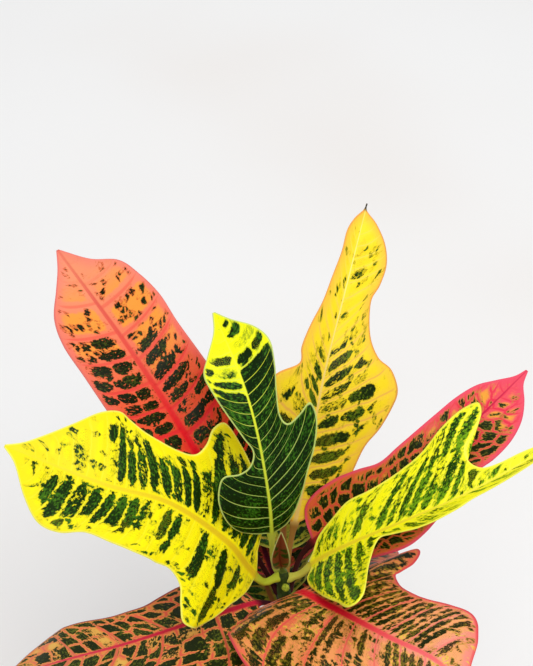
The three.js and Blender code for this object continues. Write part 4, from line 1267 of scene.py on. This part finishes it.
def rounded(profile, radii, segments=5):
    """The profile with its corners rounded off, each by its own radius."""
    points = []
    for k, (corner, radius) in enumerate(zip(profile, radii)):
        if not radius:
            points.append(corner)
            continue
        here = Vector(corner)
        start = here + (Vector(profile[k - 1]) - here).normalized() * radius
        end = here + (Vector(profile[k + 1]) - here).normalized() * radius
        for n in range(segments + 1):
            t = n / segments
            points.append(tuple(start * (1 - t) ** 2 + here * 2 * t * (1 - t) + end * t**2))
    return points


SIDE_BUD_ROOT = [(0, -1.5), (1.3, -1.3)]
SIDE_BUD_ROUNDING = (0, 0, 0.4, 0.7, 0.7, 0.5, 0)
SIDE_BUD_STEPS = 24


def build_side_bud():
    """The small bud on the front of the stem, sunk a little into the bark."""
    bm = bmesh.new()
    profile = SIDE_BUD_ROOT + SIDE_BUD_PROFILE[1:]
    spun(bm, rounded(profile, SIDE_BUD_ROUNDING), SIDE_BUD_STEPS)
    out = outward(SIDE_BUD_TURN)
    foot = stem_centre(SIDE_BUD_HEIGHT) + out * (stem_radius(SIDE_BUD_HEIGHT) + SIDE_BUD_STAND_OFF)
    lean = Matrix.Rotation(math.radians(SIDE_BUD_LEAN), 4, "Y")
    turn = Matrix.Rotation(math.radians(SIDE_BUD_TURN), 4, "Z")
    bm.transform(Matrix.Translation(Vector(foot) * MM) @ turn @ lean)
    return finished("side_bud_scales", bm)


POT_STEPS = 128
RIM_TAPER = (0.8, 0.6)


def build_pot():
    """The pot, turned from one profile whose corners are rounded, each by the last number."""
    rim_bottom = POT_HEIGHT - RIM_HEIGHT
    rim_radius = POT_MOUTH_RADIUS + RIM_PROUD
    inner_top = rim_radius - POT_WALL
    corners = [
        (0, 0, 0), (POT_BASE_RADIUS, 0, 2), (POT_MOUTH_RADIUS, rim_bottom, 1.2),
        (rim_radius - RIM_TAPER[0], rim_bottom + RIM_TAPER[1], 2.2),
        (rim_radius, POT_HEIGHT, 2.6), (inner_top, POT_HEIGHT, 2.2),
        (inner_top - RIM_PROUD, rim_bottom - POT_WALL, 3),
        (POT_BASE_RADIUS - POT_WALL, POT_FLOOR, 3), (0, POT_FLOOR, 0),
    ]
    profile = [corner[:2] for corner in corners]
    radii = [corner[2] for corner in corners]
    bm = bmesh.new()
    spun(bm, rounded(profile, radii), POT_STEPS)
    return finished("clay_pot", bm)


def soil_radius(z):
    """The pot's inner radius at height z."""
    low = POT_HEIGHT - RIM_HEIGHT - POT_WALL
    share = (z - low) / (POT_HEIGHT - low)
    return POT_MOUTH_RADIUS - POT_WALL + RIM_PROUD * share


SOIL_RINGS = 34
SOIL_STEPS = 110
SOIL_GAP = 0.3
SOIL_BOTTOM = POT_FLOOR + 0.35
# size in lumps to the metre and height in millimetres, of coarse and fine lumps
SOIL_LUMPS = ((90, 1.3), (260, 0.9))
DEEPEST_HOLLOW = -1.2
LUMPS_FADE = 4


def build_soil():
    """The soil, crumbly on top and a little higher round the stem."""
    top = POT_HEIGHT - SOIL_DROP
    edge = soil_radius(top) - SOIL_GAP
    shares = [k / SOIL_RINGS for k in range(SOIL_RINGS, -1, -1)]
    rings = [(edge * share, top + SOIL_DOME * (1 - share**2)) for share in shares]
    profile = [(0, SOIL_BOTTOM), (POT_BASE_RADIUS - POT_WALL - 2, SOIL_BOTTOM),
               (POT_BASE_RADIUS - POT_WALL - 0.4, POT_FLOOR + 3),
               (POT_MOUTH_RADIUS - POT_WALL - 0.5, POT_HEIGHT - RIM_HEIGHT - POT_WALL)]
    bm = bmesh.new()
    spun(bm, profile + rings, SOIL_STEPS)
    for vert in bm.verts:
        radius = math.hypot(vert.co.x, vert.co.y) / MM
        if vert.co.z > (top - 1) * MM and radius < edge - 0.5:
            lump = sum(noise.noise(vert.co * size) * height for size, height in SOIL_LUMPS)
            fade = min(1, (edge - radius) / LUMPS_FADE)
            vert.co.z += max(DEEPEST_HOLLOW, lump) * fade * MM
    return finished("potting_soil", bm)


# how far grains keep from the pot, and from the stem as a share of the soil's area
GRAIN_EDGE_GAP = 3
GRAIN_STEM_GAP = 0.025
GRAIN_LIFT = 0.15
GRAIN_TILT = 0.6
GRAIN_ROUGHNESS = 0.25


def scatter(name, count, size, squash, seed):
    """Small rough grains that lie on the soil, half sunk in it."""
    draw = random.Random(seed)
    top = POT_HEIGHT - SOIL_DROP
    edge = soil_radius(top) - GRAIN_EDGE_GAP
    bm = bmesh.new()
    for _ in range(count):
        radius = math.sqrt(draw.uniform(GRAIN_STEM_GAP, 1)) * edge
        turn = draw.uniform(0, 2 * math.pi)
        scale = draw.uniform(*size)
        height = top + SOIL_DOME * (1 - (radius / edge) ** 2) + scale * GRAIN_LIFT
        spot = Vector((radius * math.cos(turn), radius * math.sin(turn), height)) * MM
        spin = Matrix.Rotation(draw.uniform(0, math.pi), 4, "Z")
        tilt = Matrix.Rotation(draw.uniform(-GRAIN_TILT, GRAIN_TILT), 4, "X")
        shape = Matrix.Diagonal((scale * MM, scale * draw.uniform(0.5, 1) * MM, scale * squash * MM, 1))
        placed = Matrix.Translation(spot) @ spin @ tilt @ shape
        made = bmesh.ops.create_icosphere(bm, subdivisions=1, radius=1, matrix=placed)
        for vert in made["verts"]:
            vert.co += (vert.co - spot) * draw.uniform(-GRAIN_ROUGHNESS, GRAIN_ROUGHNESS)
    return finished(name, bm, shaded_smooth=False)


# ---- making it all --------------------------------------------------------------------------

islands = make_islands(make_rows(), make_cells())
variegation = make_leaf_colour(make_leaf_place(), make_laterals(), islands)
leaf_materials = {name: leaf_material(name, look, variegation) for name, look in LOOKS.items()}

all_leaves = UPPER_LEAVES + [lower_leaf(leaf, index) for index, leaf in enumerate(LOWER_LEAVES)]
for number, leaf in enumerate(all_leaves):
    detail = FINE if number < FINE_LEAVES else PLAIN
    rings, layers = leaf_rings(leaf, number, detail, LOOKS[leaf["look"]])
    skin = skin_from_rings(leaf["name"] + "_skin", rings, layers)
    place(skin, leaf_materials[leaf["look"]], leaf["slot"], leaf["name"])

place(build_stem(all_leaves), bark_material(), "bark", "stem")
place(build_side_bud(), young_bud_material(), "green", "side_bud")
place(build_pot(), clay_material(), "clay", "pot")
place(build_soil(), earth_material("potting soil", "#1d140e", "#3f2d21", "#6a5240"), "earth", "soil")
crumbs = scatter("soil_crumbs", 420, (0.8, 2.4), 0.7, 11)
place(crumbs, earth_material("soil crumbs", "#241812", "#4c382a", "#7a614c"), "earth")
bark_chips = scatter("bark_chips", 60, (2.2, 4.6), 0.35, 12)
place(bark_chips, earth_material("bark chips", "#3a2216", "#6e4a30", "#96704e"), "earth")
perlite = scatter("perlite", 90, (0.7, 1.7), 0.85, 13)
place(perlite, earth_material("perlite", "#c9c4ba", "#ece9e2", "#ffffff"), "earth")

# ---- floor, light and camera ----------------------------------------------------------------

FLOOR_HALF_SIZE = 6
DAYLIGHT_STRENGTH = 0.62

floor_bm = bmesh.new()
bmesh.ops.create_grid(floor_bm, x_segments=1, y_segments=1, size=FLOOR_HALF_SIZE)
floor = finished("floor", floor_bm)
floor.data.materials.append(floor_material())


def soft_light(name, place_at, target, size, watts):
    """A round white lamp, sizes in metres, that shines towards its target."""
    lamp = bpy.data.lights.new(name, "AREA")
    lamp.shape = "DISK"
    lamp.size = size
    lamp.energy = watts
    holder = bpy.data.objects.new(name, lamp)
    holder.location = place_at
    toward = Vector(target) - Vector(place_at)
    holder.rotation_euler = toward.to_track_quat("-Z", "Y").to_euler()
    bpy.context.scene.collection.objects.link(holder)


PLANT_HEART = (0, 0, 0.3)
FLOOR_BEHIND = (0, 0.9, 0)
soft_light("key light", (0.35, -1.1, 2.05), PLANT_HEART, 1.3, 22)
soft_light("back light", (0.1, 1.4, 2.2), FLOOR_BEHIND, 1.4, 12)

world = bpy.data.worlds.new("soft daylight")
world.use_nodes = True
background = world.node_tree.nodes["Background"]
background.inputs["Color"].default_value = (1, 1, 1, 1)
background.inputs["Strength"].default_value = DAYLIGHT_STRENGTH
bpy.context.scene.world = world
bpy.context.scene.view_settings.view_transform = "Standard"

# The camera looks down at the head of the plant, where the upper petioles leave the stem. The
# photo's height and the head's place, right of and below its centre, are in pixels.
LENS = 90
SENSOR = 36
PITCH_DOWN = 37
CAMERA_DISTANCE = 1000
PHOTO_HEIGHT = 666
PLANT_HEAD = (0, 0, 262)
HEAD_IN_PHOTO = (16.5, 244)

pixel = CAMERA_DISTANCE * SENSOR / (LENS * PHOTO_HEIGHT)
aside, below = (offset * pixel for offset in HEAD_IN_PHOTO)
pitch = math.radians(PITCH_DOWN)
camera_place = Vector((
    PLANT_HEAD[0] - aside,
    PLANT_HEAD[1] - CAMERA_DISTANCE * math.cos(pitch) + below * math.sin(pitch),
    PLANT_HEAD[2] + CAMERA_DISTANCE * math.sin(pitch) + below * math.cos(pitch),
))

camera_data = bpy.data.cameras.new("camera")
camera_data.lens = LENS
camera_data.sensor_width = SENSOR
camera = bpy.data.objects.new("camera", camera_data)
camera.location = camera_place * MM
camera.rotation_euler = (math.radians(90 - PITCH_DOWN), 0, 0)
bpy.context.scene.collection.objects.link(camera)
bpy.context.scene.camera = camera
